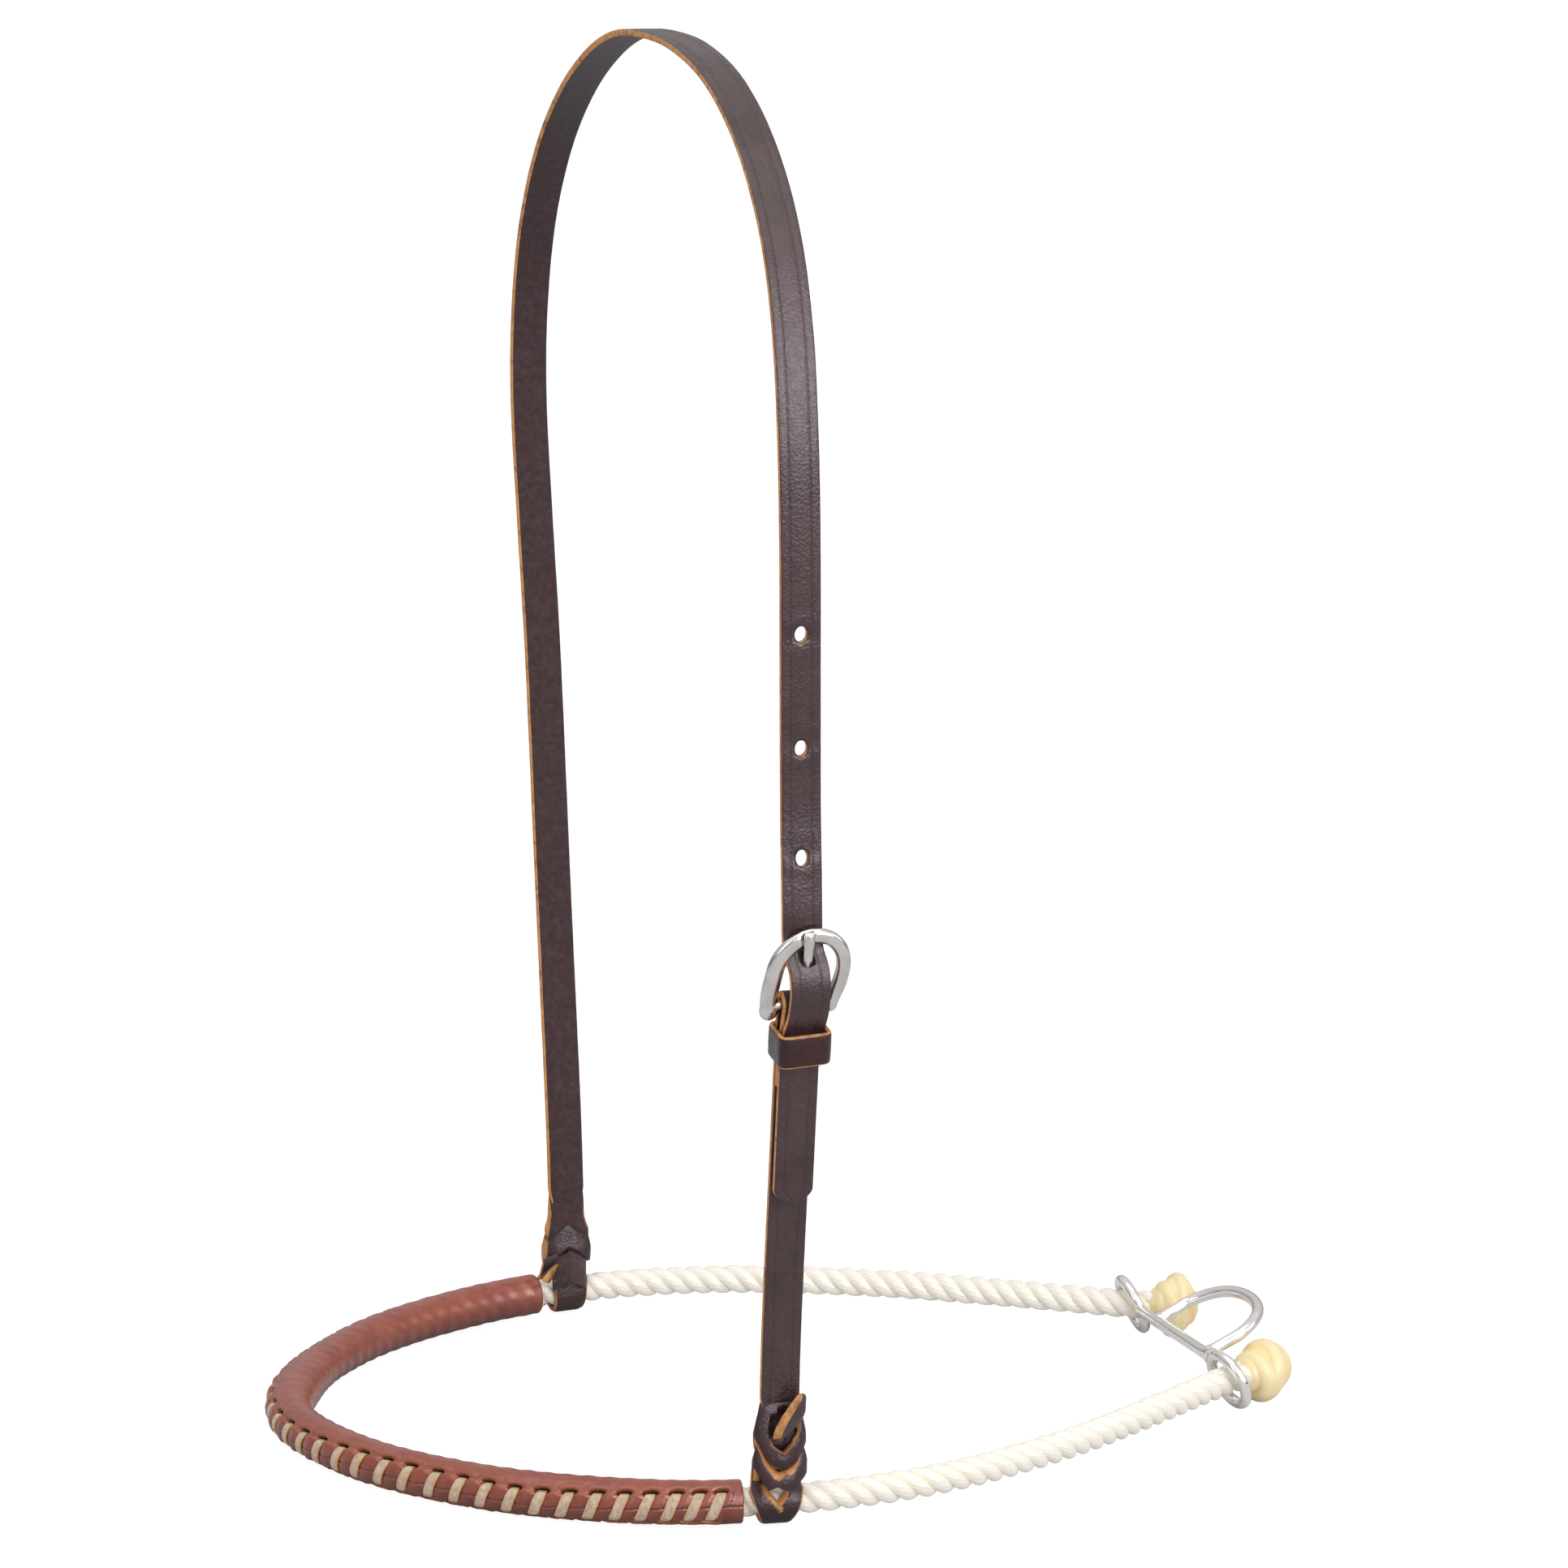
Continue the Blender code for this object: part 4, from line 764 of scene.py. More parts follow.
def cover_height(distance, angle):
    """How far the cover stands off its plain tube at an angle from the seam, in mm, with its masks: painted
    shade in the seam's groove and the slits, and orange rims round the slits.
    """
    beside = (angle + math.pi) % (2 * math.pi) - math.pi
    world = seam_angle(distance) + beside
    lay = 2 * math.pi * distance / ROPE_LAY
    inner = 0.5 - 0.5 * math.cos(world)
    height = (0.008 + 0.17 * inner ** 2) * math.cos(3 * (world - lay))
    height += 1.05 * math.exp(-((distance - 0.032) / 0.021) ** 2)
    height += 0.10 * rough((distance, world * 0.004, 0), 260, 2.0)
    groove = math.exp(-(beside * 6.7 / 0.24) ** 2)
    height -= 0.38 * groove
    # Painted shade in the seam's groove, stronger towards the near end.
    mark = groove * (0.25 + 0.5 * ease((-0.128 - distance) / 0.02))
    rim = 0.0
    share = (LACING_HALF_ANGLE - beside) / (2 * LACING_HALF_ANGLE)
    slant = LACE_SLANT * (2 * min(1.15, max(-0.15, share)) - 1)
    phase = lace_phase(distance - slant)
    if -0.6 < phase < len(LACE_STATIONS) - 0.4:
        window = ease((math.radians(45) - abs(beside)) / math.radians(12))
        height += window * (0.14 - 0.50 * math.cos(2 * math.pi * phase))
        for sign in (1, -1):
            index = round(lace_phase(distance + sign * LACE_SLANT))
            if not 0 <= index < len(LACE_STATIONS):
                continue
            spot = LACE_STATIONS[index] - sign * LACE_SLANT
            wide = SLIT_HALF_LENGTH * (1 + 0.2 * rough((spot, 0, 0), 900, 1.0))
            across = (distance - spot) / wide
            tall = (beside - sign * SLIT_ANGLE) * COVER_RADIUS / SLIT_HALF_HEIGHT
            skew = 0.25 * across + 0.2 * rough((distance, spot, 0), 1500)
            radius = math.hypot(across, tall + sign * skew)
            height -= 1.8 * ease((1.15 - radius) / 0.5)
            beyond = ease(sign * tall * 0.5)
            height += (0.12 + 0.38 * beyond) * math.exp(-((radius - 1.7) / 0.45) ** 2)
            # Painted shade in the slits.
            mark = max(mark, ease((1.05 - radius) / 0.3))
            rim = max(rim, 0.95 * ease((1.95 - radius) / 0.6) * (0.45 + 0.55 * beyond))
    return height, mark, rim


def build_cover():
    """The nose cover: rippled by the rope's strands, puckered by the lace."""
    shape = Shape()
    fine = 60
    seam_side, coarse = 56, 44
    angles = [math.radians(-seam_side) + math.radians(2 * seam_side) * i / fine for i in range(fine)]
    angles += [math.radians(seam_side) + math.radians(360 - 2 * seam_side) * i / coarse
               for i in range(coarse)]
    length = 2 * COVER_HALF - FAR_COVER_GAP
    rows = round(length / 0.00052)
    rings = []
    mark = []
    rim = []

    def ring_at(distance, inset, burnt, bare=None):
        spot = RopeFrame(distance)
        ring = []
        for angle in angles:
            height, dark, edge = cover_height(distance, angle)
            radius = COVER_RADIUS + height * MM - inset
            radius = bare if bare else radius
            point = spot.point(seam_angle(distance) + angle, radius)
            point.z = max(point.z, COVER_FLOOR_GAP)
            ring.append(point)
            mark.append(dark)
            rim.append(max(edge, burnt))
        return ring

    ends = [(-0.0030, 0, 0.6, 0.0051), (0.0, 0, 0.8, 0.0052), (-0.0001, 0.0009, 0.9, None),
            (0.0000, 0.0004, 0.7, None), (0.0003, 0.0001, 0.4, None)]
    for ahead, inset, burnt, bare in ends:
        rings.append(ring_at(-COVER_HALF + abs(ahead), inset, burnt, bare))
    for row in range(1, rows):
        ahead = length * row / rows
        if 0.0004 < ahead < length - 0.0004:
            rings.append(ring_at(ahead - COVER_HALF, 0.0, 0.0))
    for ahead, inset, burnt, bare in reversed(ends):
        rings.append(ring_at(COVER_HALF - FAR_COVER_GAP - abs(ahead), inset, burnt, bare))
    shape.loft(rings, mark=mark, rim=rim)
    place(shape.build("laced_cover", [CHESTNUT]), "noseband", "nose_cover")


def build_lacing(name, node, stations):
    """One lace: over the seam, down a slit and back under the leather, loop after loop."""
    shape = Shape()
    path = []
    over = 9
    for i, station in enumerate(stations):
        for step in range(-1, over + 1):
            share = step / (over - 1)
            held = min(1.0, max(0.0, share))
            spot_distance = station + LACE_SLANT * (2 * held - 1)
            spot = RopeFrame(spot_distance)
            angle = seam_angle(spot_distance) + LACING_HALF_ANGLE * (1 - 2 * share) * 1.04
            rise = 0.30 * math.sin(math.pi * held) ** 0.5
            sink = -1.9 if share in (-1 / (over - 1), over / (over - 1)) else rise - 0.06
            path.append((spot, angle, COVER_RADIUS + sink * MM, share))
    rings = []
    rim = []
    points = [spot.point(angle, radius) for spot, angle, radius, share in path]
    for i, (spot, angle, _, share) in enumerate(path):
        away = spot.away(angle)
        wide = (spot.along - away * spot.along.dot(away)).normalized()
        thick = away if 0 <= share <= 1 else (away + spot.along * 0.001).normalized()
        pinch = 0.80 + 0.20 * ease(math.sin(math.pi * min(1.0, max(0.0, share))) * 2.5)
        half = LACE_HALF_WIDTH * pinch * (1 + 0.08 * rough(points[i], 700))
        ring = []
        for x, y, edge in ((-1, 0, 1), (-0.93, 0.6, 1), (-0.72, 0.92, 0.3), (-0.3, 1, 0), (0.3, 1, 0),
                           (0.72, 0.92, 0.3), (0.93, 0.6, 1), (1, 0, 1), (0.9, -0.8, 1), (0, -1, 1),
                           (-0.9, -0.8, 1)):
            ring.append(points[i] + wide * (half * x) + thick * (LACE_HALF_THICKNESS * y))
            rim.append(edge * 0.9)
        rings.append(ring)
    shape.loft(rings, rim=rim)
    place(shape.build(name, [LACE]), "noseband", node)


# Straps

def strap_section(width, edge_wave):
    """Cross-section of a strap: places across and off its middle, with the finish of each face."""
    half = width / 2
    top = STRAP_THICKNESS / 2
    crease = half - CREASE_IN
    outline = []
    for sign in (-1, 1):
        part = [(half - 0.00010, top - 0.00012, 1), (half - 0.00045, top, 0)]
        if crease > 0.001:
            part += [(crease + 0.00045, top, 0), (crease + 0.0002, top - 0.00005, 0),
                     (crease, top - 0.00020, 0), (crease - 0.0002, top - 0.00005, 0),
                     (crease - 0.00045, top, 0)]
        else:
            part += [(half * share, top, 0) for share in (0.6, 0.5, 0.4, 0.3, 0.2)]
        if sign < 0:
            outline += [(-x, y, slot) for x, y, slot in part]
            outline += [(0.0, top + 0.00004, 0)]
        else:
            outline += [(x, y, slot) for x, y, slot in reversed(part)]
    outline += [(half, top - 0.0005, 1), (half + edge_wave, 0.0, 1), (half, -top + 0.0004, 1),
                (half - 0.00015, -top + 0.0001, 2), (half - 0.0006, -top, 2), (half * 0.4, -top, 2),
                (-half * 0.4, -top, 2), (-half + 0.0006, -top, 2), (-half + 0.00015, -top + 0.0001, 1),
                (-half, -top + 0.0004, 1), (-half - edge_wave, 0.0, 1), (-half, top - 0.0005, 1)]
    return outline


SECTION_SLOTS = [GRAIN] * 14 + [EDGE] * 3 + [BACK] * 5 + [EDGE] * 5


def strap_shape(path, width_at, outward, dent=None):
    """A creased leather strap along a path; outward is +1 where the grain side is at tangent x across."""
    shape = Shape()
    rings = []
    mark = []
    travelled = 0.0
    across = Vector((1, 0, 0))
    for i, point in enumerate(path):
        travelled += (point - path[i - 1]).length if i else 0.0
        ahead = heading_at(path, i)
        side = (across - ahead * across.dot(ahead)).normalized()
        away = ahead.cross(side) * outward
        width = width_at(travelled)
        wave = 0.00004 * rough(point, 220)
        ring = []
        for x, y, slot in strap_section(width, 0.00006):
            lift = 0.00005 * rough((travelled, x, 0), 330, 5.0) if slot == 0 else 0.0
            if dent and slot == 0:
                lift += dent(travelled, x)
            ring.append(point + side * (x + wave * (1 if x > 0 else -1)) + away * (y + lift))
            # Painted shade along the two creases of the grain side.
            dark = 0.35 * math.exp(-((abs(x) - width / 2 + CREASE_IN) / 0.00022) ** 2)
            mark.append(dark if slot == 0 else 0.0)
        rings.append(ring)
    shape.loft(rings, slots=SECTION_SLOTS[:len(rings[0])], mark=mark, cap_slot=EDGE)
    return shape


def pin_cutter(point, direction, radius_x, radius_y, slot=EDGE):
    """A round or oval cutter through a strap that runs in the given direction."""
    through = direction.normalized().cross(Vector((1, 0, 0))).normalized()
    turn = Matrix((Vector((1, 0, 0)), direction.normalized(), through)).transposed().to_4x4()
    matrix = Matrix.Translation(point) @ turn
    rings = []
    for level in (-0.006, 0.0003 if slot == BACK else 0.006):
        rings.append([matrix @ Vector((radius_x * cos, radius_y * sin, level)) for cos, sin in circle(28)])
    shape = Shape()
    shape.loft(rings, slots=[slot] * 28, cap_slot=slot)
    return shape.build("pin_cutter", LEATHER)


def strap_width(travelled):
    """Width of a strap at a distance from where it begins in its knot."""
    wider = ease((travelled - WIDENING_START) / WIDENING_LENGTH)
    return KNOT_STRAP_WIDTH + (STRAP_WIDTH - KNOT_STRAP_WIDTH) * wider


def cheek_place(point):
    """Distance outwards and above the bar of a point on the near cheek."""
    local = CHEEK.inverted() @ point
    return -local.y, local.z


def build_crown_strap():
    """The long strap: far blood knot, over the crown, through the buckle, down to its tip."""
    far = [headstall_point(out, height, 1) for out, height in FAR_CHEEK]
    near = [headstall_point(out, height, -1) for out, height in NEAR_CROWN]
    bend = [
        cheek_point(BEHIND_FRAME * 0.45, 0.0370, -0.0006), cheek_point(BEHIND_FRAME, 0.0275, -0.0006),
        cheek_point(BEHIND_FRAME - 0.0001, 0.0215, -0.0002), cheek_point(BEHIND_FRAME + 0.0013, 0.0168),
        cheek_point(CROWN_OUT - 0.0019, 0.0124, 0.0009), cheek_point(CROWN_OUT - 0.0003, 0.0080, 0.0012),
        cheek_point(CROWN_OUT, 0.0030, 0.0012), cheek_point(CROWN_OUT - 0.0005, -0.0025, 0.0008),
        cheek_point(TIP_OUT + 0.0024, -0.0080), cheek_point(TIP_OUT + 0.0008, -0.0135),
        cheek_point(TIP_OUT + 0.0001, -0.0190), cheek_point(TIP_OUT, -0.0260),
        cheek_point(TIP_OUT, -0.0420), cheek_point(TIP_OUT, -TIP_BELOW_BAR),
    ]
    arch = smooth_path(far + near + bend[:2], 0.0015)
    through = smooth_path([arch[-7]] + bend[1:], 0.0007)
    path = (arch[:-7] + through)[6:]
    total = sum((b - a).length for a, b in zip(path, path[1:]))

    def width_at(travelled):
        left = total - travelled
        if left < TIP_LENGTH:
            share = left / TIP_LENGTH
            return TIP_WIDTH + (STRAP_WIDTH - TIP_WIDTH) * math.sin(share * math.pi / 2) ** 0.9
        return strap_width(travelled)

    start = len(arch)
    holes = []
    lengths = [0.0]
    for a, b in zip(path, path[1:]):
        lengths.append(lengths[-1] + (b - a).length)
    index = start
    while cheek_place(path[index])[1] < FIRST_HOLE:
        index -= 1
    first = lengths[index] + (cheek_place(path[index])[1] - FIRST_HOLE)
    for number in range(3):
        wanted = first - number * HOLE_PITCH
        spot = next(i for i, length in enumerate(lengths) if length >= wanted)
        holes.append((wanted, path[spot - 1].lerp(path[spot], 0.5), path[spot - 1] - path[spot]))

    def dent(travelled, x):
        depth = 0.0
        for wanted, _, _ in holes:
            away = math.hypot(travelled - wanted, x)
            depth -= 0.00016 * math.exp(-((away - 0.0024) / 0.0007) ** 2)
            if abs(travelled - wanted) < 0.011:
                fade = math.exp(-((away - 0.0045) / 0.0028) ** 2)
                depth += 0.00026 * fade * math.sin(travelled * 3600 + 2 * rough((travelled, x, 0), 500))
        return depth

    strap = strap_shape(path, width_at, 1, dent).build("crown_leather", LEATHER)
    for wanted, point, direction in holes:
        carve(strap, pin_cutter(point, direction, HOLE_RADIUS * HOLE_ACROSS, HOLE_RADIUS * HOLE_ALONG))
    spot = next(i for i in range(start, len(path)) if cheek_place(path[i])[1] < 0.0150)
    pinned = Vector((0.0005 - path[spot].x + cheek_point(0, 0).x, 0, 0)) + path[spot]
    carve(strap, pin_cutter(pinned, path[spot - 1] - path[spot], 0.0023, 0.0026, BACK))
    place(strap, "headstall", "crown_strap")


def build_cheek_strap():
    """The short near strap, folded round the buckle's bar."""
    foot = [headstall_point(out, height, -1) for out, height in FAR_CHEEK[:3]]
    cheek = smooth_path(foot + [cheek_point(0.0, -0.040)], 0.0015)[6:]
    straight = resample([cheek[-1], cheek_point(0.0, -0.004)], 0.0015)
    bend = []
    for i in range(17):
        angle = math.pi - math.pi * i / 16
        bend.append(cheek_point(FOLD_RADIUS + FOLD_RADIUS * math.cos(angle), FOLD_RADIUS * math.sin(angle)))
    front = smooth_path([
        bend[-1], cheek_point(2 * FOLD_RADIUS - 0.0010, -0.0050), cheek_point(LAYER_STEP + 0.0009, -0.0105),
        cheek_point(LAYER_STEP, -0.0160), cheek_point(LAYER_STEP, -FOLD_LENGTH)], 0.0010)
    path = cheek + straight[1:] + bend + front[1:]

    strap = strap_shape(path, strap_width, -1).build("cheek_leather", LEATHER)
    slot = box_cutter(CHEEK @ Matrix.Translation((BUCKLE_SHIFT, -FOLD_RADIUS, 0.0005)),
                      (0.0038, 0.0122, 0.0104))
    carve(strap, slot)
    place(strap, "headstall", "cheek_strap")


def box_cutter(matrix, size):
    """A cutter in the shape of a box."""
    x, y, z = (value / 2 for value in size)
    rings = [[matrix @ Vector((sx * x, sy * y, level)) for sx, sy in ((-1, -1), (1, -1), (1, 1), (-1, 1))]
             for level in (-z, z)]
    shape = Shape()
    shape.loft(rings, slots=[EDGE] * 4, cap_slot=EDGE)
    return shape.build("box_cutter", LEATHER)


def build_keeper():
    """The leather loop that holds the strap's tip against the cheek."""
    half_x = STRAP_WIDTH / 2 + 0.0004 + KEEPER_HALF_WALL
    low = -0.0013 - KEEPER_HALF_WALL
    high = -0.0013 + 0.0119 + KEEPER_HALF_WALL
    corner = 0.0019
    outline = []
    for cx, cy, start in ((half_x, high, 0), (-half_x, high, 1), (-half_x, low, 2), (half_x, low, 3)):
        sx, sy = (1 if cx > 0 else -1), (1 if cy == high else -1)
        for k in range(7):
            angle = math.pi / 2 * (start + k / 6)
            outline.append(Vector((cx - sx * corner + corner * math.cos(angle),
                                   cy - sy * corner + corner * math.sin(angle))))
    dense = []
    for i, point in enumerate(outline):
        following = outline[(i + 1) % len(outline)]
        steps = max(1, round((following - point).length / 0.0008))
        dense += [point.lerp(following, k / steps) for k in range(steps)]
    rings = []
    section = [(-0.5, 0.62), (-0.46, 0.88), (-0.4, 1.0), (-0.25, 1.05), (0, 1.1), (0.25, 1.05),
               (0.4, 1.0), (0.46, 0.88), (0.5, 0.62), (0.5, -0.4), (0.45, -0.85), (0.0, -0.95),
               (-0.45, -0.85), (-0.5, -0.4)]
    slots = [EDGE] + [GRAIN] * 6 + [EDGE] * 3 + [BACK] * 2 + [EDGE] * 2
    count = len(dense)
    for i, point in enumerate(dense):
        ahead = (dense[(i + 1) % count] - dense[i - 1]).normalized()
        away = Vector((ahead.y, -ahead.x))
        bulge = 0.00025 * ease((point.y - low) / (high - low)) * math.cos(point.x / half_x * 1.4)
        ring = []
        for level, out in section:
            spot = point + away * (KEEPER_HALF_WALL * out + (bulge if out > 0 else 0))
            skew = 0.0004 * (point.x / half_x)
            ring.append(CHEEK @ Vector((spot.x, -spot.y, -KEEPER_BELOW_BAR + level * KEEPER_HEIGHT + skew)))
        rings.append(ring)
    shape = Shape()
    shape.loft(rings, closed=True, slots=slots)
    place(shape.build("keeper_loop", KEEPER_LEATHER), "keeper", "keeper")


# Blood knots

def at_knot(side, x, out, height):
    """A place at a blood knot: across, outwards and above the rope's centre, in mm."""
    return PIVOT @ Vector((x * MM, side * (KNOT_OUT + out * MM), height * MM - PIVOT_HEIGHT))


def knot_place(side, point):
    """Across, outwards and above the rope's centre, in mm, for a point at a blood knot."""
    local = PIVOT.inverted() @ point
    return local.x / MM, (side * local.y - KNOT_OUT) / MM, (local.z + PIVOT_HEIGHT) / MM


def table(knots):
    """A function that runs smoothly through pairs of numbers."""
    xs = [x for x, y in knots]
    ys = [y for x, y in knots]
    return lambda value: float(np.interp(value, xs, ys))


def seen(x, out):
    """Across the near knot, for a place that shows x mm right of its middle from the front."""
    return (x - 0.3 * out) / 0.954


KNOT_WALL = 1.9


def knot_band(side, plan, front, back, foot, rise, top_slot, face_slot, low_slot):
    """A leather band round a blood knot; its edges are drawn for the outer and the inner side."""
    rings = []
    count = 132
    for i in range(count):
        angle = 2 * math.pi * i / count
        lateral = math.cos(angle)
        share = ease(0.5 + 3.0 * math.sin(angle))
        low, high = (front[k](lateral) * share + back[k](lateral) * (1 - share) for k in (0, 1))
        lift = min(foot(lateral) * share + 0.25 * (1 - share), 0.3 * (high - low))
        drop = min(rise(lateral) * share + 0.5 * (1 - share), 0.45 * (high - low))
        face = high - drop - low - lift
        levels = [(low, 0.85), (low + 0.4 * lift, 0.30)]
        levels += [(low + lift + face * k / 7, 0.0) for k in range(8)]
        levels += [(high - 0.5 * drop, 0.30 * drop), (high, 0.65 * drop)]
        skin = [(height, inset, 0.0) for height, inset in levels]
        skin += [(high, 0.65 * drop, KNOT_WALL * 0.5), ((low + high) / 2, 0.0, KNOT_WALL),
                 (low, 0.0, KNOT_WALL)]
        ring = []
        for height, inset, depth in skin:
            half_x, half_y, tilt = plan(height)
            level = (height - low) / (high - low)
            grow = 0.35 * math.sin(math.pi * level) - inset - depth
            x = (half_x + grow) * squarish(math.cos(angle), 0.85)
            y = (half_y + grow) * squarish(math.sin(angle), 0.85)
            wobble = 0.13 * rough((x, y, height), 0.35, side * 3.0)
            ring.append(at_knot(side, x + wobble, y + tilt + wobble, height))
        rings.append(ring)
    slots = [low_slot] * 2 + [face_slot] * 7 + [top_slot] * 3 + [BACK] * 2 + [EDGE]
    shape = Shape()
    shape.loft(rings, closed=True, slots=slots)
    return shape


def slit_cutter(side, inner, outer, out_inner, out_outer, deep):
    """A cutter for a slit that widens outwards, from its outlines across and upwards in mm."""
    rings = []
    for out, outline in ((out_inner - deep, inner), (out_inner, inner), (out_outer, outer),
                         (out_outer + 5, outer)):
        rings.append([at_knot(side, x, out, z) for x, z in outline])
    shape = Shape()
    shape.loft(rings, slots=[EDGE] * len(inner), cap_slot=EDGE)
    return shape.build("slit_cutter", LEATHER)


def flowing(rows, steps):
    """Rows of numbers with smooth rows between them."""
    rows = [np.array(row, float) for row in rows]
    dense = []
    for i in range(len(rows) - 1):
        a, b, c, d = rows[max(0, i - 1)], rows[i], rows[i + 1], rows[min(len(rows) - 1, i + 2)]
        for k in range(steps):
            t = k / steps
            dense.append(0.5 * (2 * b + (c - a) * t + (2 * a - 5 * b + 4 * c - d) * t ** 2
                                + (3 * b - a - 3 * c + d) * t ** 3))
    dense.append(rows[-1])
    return dense


def slab(name, side, rows, slots):
    """A leather end with four corners in each level: corners are across and outwards, in mm."""
    rings = []
    for row in flowing(rows, 6):
        corners = [Vector((row[1 + 2 * k], row[2 + 2 * k])) for k in range(4)]
        ring = []
        for k, corner in enumerate(corners):
            following = corners[(k + 1) % 4]
            for share in (0.08, 0.35, 0.65, 0.92):
                spot = corner.lerp(following, share)
                ring.append(at_knot(side, spot.x, spot.y, row[0]))
        rings.append(ring)
    shape = Shape()
    around = [slot for face in slots for slot in (face, face, face, EDGE)]
    shape.loft(rings, slots=around, cap_slot=EDGE)
    return shape.build(name, LEATHER)


def leaf(name, rows, thickness, side, slots):
    """A bent leather end: rows of middle, wide direction, half width and surface direction."""
    rings = []
    grain, edge, flesh = slots
    for middle, wide, half, away in rows:
        m = Vector(middle)
        w = Vector(wide).normalized()
        n = Vector(away)
        n = (n - w * n.dot(w)).normalized()
        ring = []
        for x, y in ((-1, 0.6), (-0.86, 1), (0, 1.05), (0.86, 1), (1, 0.6), (1, -0.6), (0.9, -1), (0, -1),
                     (-0.9, -1), (-1, -0.6)):
            spot = m + w * (half * x) + n * (thickness / 2 * y)
            ring.append(at_knot(side, spot.x, spot.y, spot.z))
        rings.append(ring)
    dense = []
    for low, high in zip(rings, rings[1:]):
        for k in range(6):
            dense.append([a.lerp(b, k / 6) for a, b in zip(low, high)])
    dense.append(rings[-1])
    shape = Shape()
    shape.loft(dense, slots=[edge, grain, grain, edge, edge, edge, flesh, flesh, edge, edge], cap_slot=EDGE)
    return shape.build(name, LEATHER)


UPPER_SLIT = [
    (0.4, 17.7), (1.3, 18.5), (2.1, 19.3), (3.0, 20.2), (3.8, 21.2), (4.7, 22.4), (5.4, 23.6),
    (5.9, 24.8), (6.1, 26.0), (5.9, 27.4), (5.2, 28.6), (3.9, 29.3), (2.3, 29.6), (0.7, 29.7),
    (-0.9, 29.6), (-2.1, 29.1), (-3.1, 28.3), (-3.8, 27.2), (-4.1, 26.0), (-4.3, 24.6), (-4.2, 23.2),
    (-3.9, 22.1), (-3.4, 21.0), (-2.6, 20.0), (-1.7, 19.1), (-0.7, 18.3),
]
WRAP_GAP = [(-0.6, 1.4), (0.9, 2.9), (2.2, 4.4), (3.2, 6.4), (3.4, 9.5), (-4.2, 9.5), (-4.0, 6.4),
            (-3.1, 4.2), (-1.9, 2.8)]
WRAP_SLIT = [(-0.4, -0.4), (2.4, 2.6), (5.0, 5.5), (5.4, 7.4), (5.4, 9.5), (-5.6, 9.5), (-5.4, 6.4),
             (-4.9, 4.2), (-2.7, 1.9)]


def worn_rim(point, edge, left, right):
    """How golden the far knot's side edges are: half width and the strips' widths by height, in mm."""
    x, out, z = knot_place(1, point)
    ragged = 0.5 * rough((out, z, 0), 1.1, 7.0)
    if out > 1.0:
        return 0.0
    golden_left = ease((left(z) - edge(z) - x + ragged) / 0.4)
    golden_right = ease((right(z) - edge(z) + x + ragged) / 0.4)
    return max(golden_left, golden_right)


def far_plate():
    """The leather that slopes up from the far wrap to its band, with a chevron above and below."""
    lean = table([(0, -13.3), (0.15, -12.9), (0.4, -11.3), (0.7, -8.4), (0.9, -5.5), (1, -3.9)])
    plate = []
    for k in range(13):
        share = k / 12
        out = lean(share)
        shift = 0.29 * (out + 4.9) - 0.1
        ring = []
        for wide, back, turn in ((5.8, 0.0, 1), (5.6, 1.4, -1)):
            for i in range(15):
                x = turn * (i / 7 - 1)
                bow = 1.1 * (1 - abs(x) ** 3)
                low = 2.3 + 3.3 * (1 - abs(x))
                high = 9.6 + 3.9 * (1 - abs(x))
                ring.append(at_knot(1, wide * x + shift, out + back - bow, low + (high - low) * share))
        plate.append(ring)
    return plate


UPPER_WIDTHS = {
    -1: [(10, 7.6), (14, 8.0), (19, 8.15), (23, 8.0), (26, 7.3), (29, 6.5), (33, 6.15)],
    1: [(10, 7.6), (14, 8.1), (17, 8.3), (20, 7.7), (23, 6.4), (26, 5.95), (33, 5.95)],
}
UPPER_DEPTHS = {
    -1: [(10, 4.5), (14, 4.6), (19, 4.2), (23, 3.4), (26, 2.5), (29, 1.7), (33, 1.12)],
    1: [(10, 5.0), (16, 5.3), (19, 4.7), (23, 2.9), (26, 1.6), (29, 1.15), (33, 0.95)],
}
LOWER_WIDTHS = [(4, 7.9), (9, 8.3), (14, 8.2), (18, 7.4), (21, 6.8)]
LOWER_DEPTHS = [(4, 5.1), (8, 5.0), (13, 4.4), (17, 3.2), (21, 2.6)]
LOWER_FRONTS = {
    -1: [(-1, 12), (-0.95, 11.2), (-0.55, 5.6), (-0.2, 7.0), (0.11, 5.3), (0.9, 9.3), (1, 9.8)],
    1: [(-1, 8.4), (-0.5, 6.5), (0, 7.0), (0.5, 6.5), (1, 9.0)],
}


def band_plan(widths, depths, shifts):
    """A band's half width, half depth and shift outwards at a height, in mm."""
    lines = [table(widths), table(depths), table(shifts)]
    return lambda height: tuple(line(height) for line in lines)


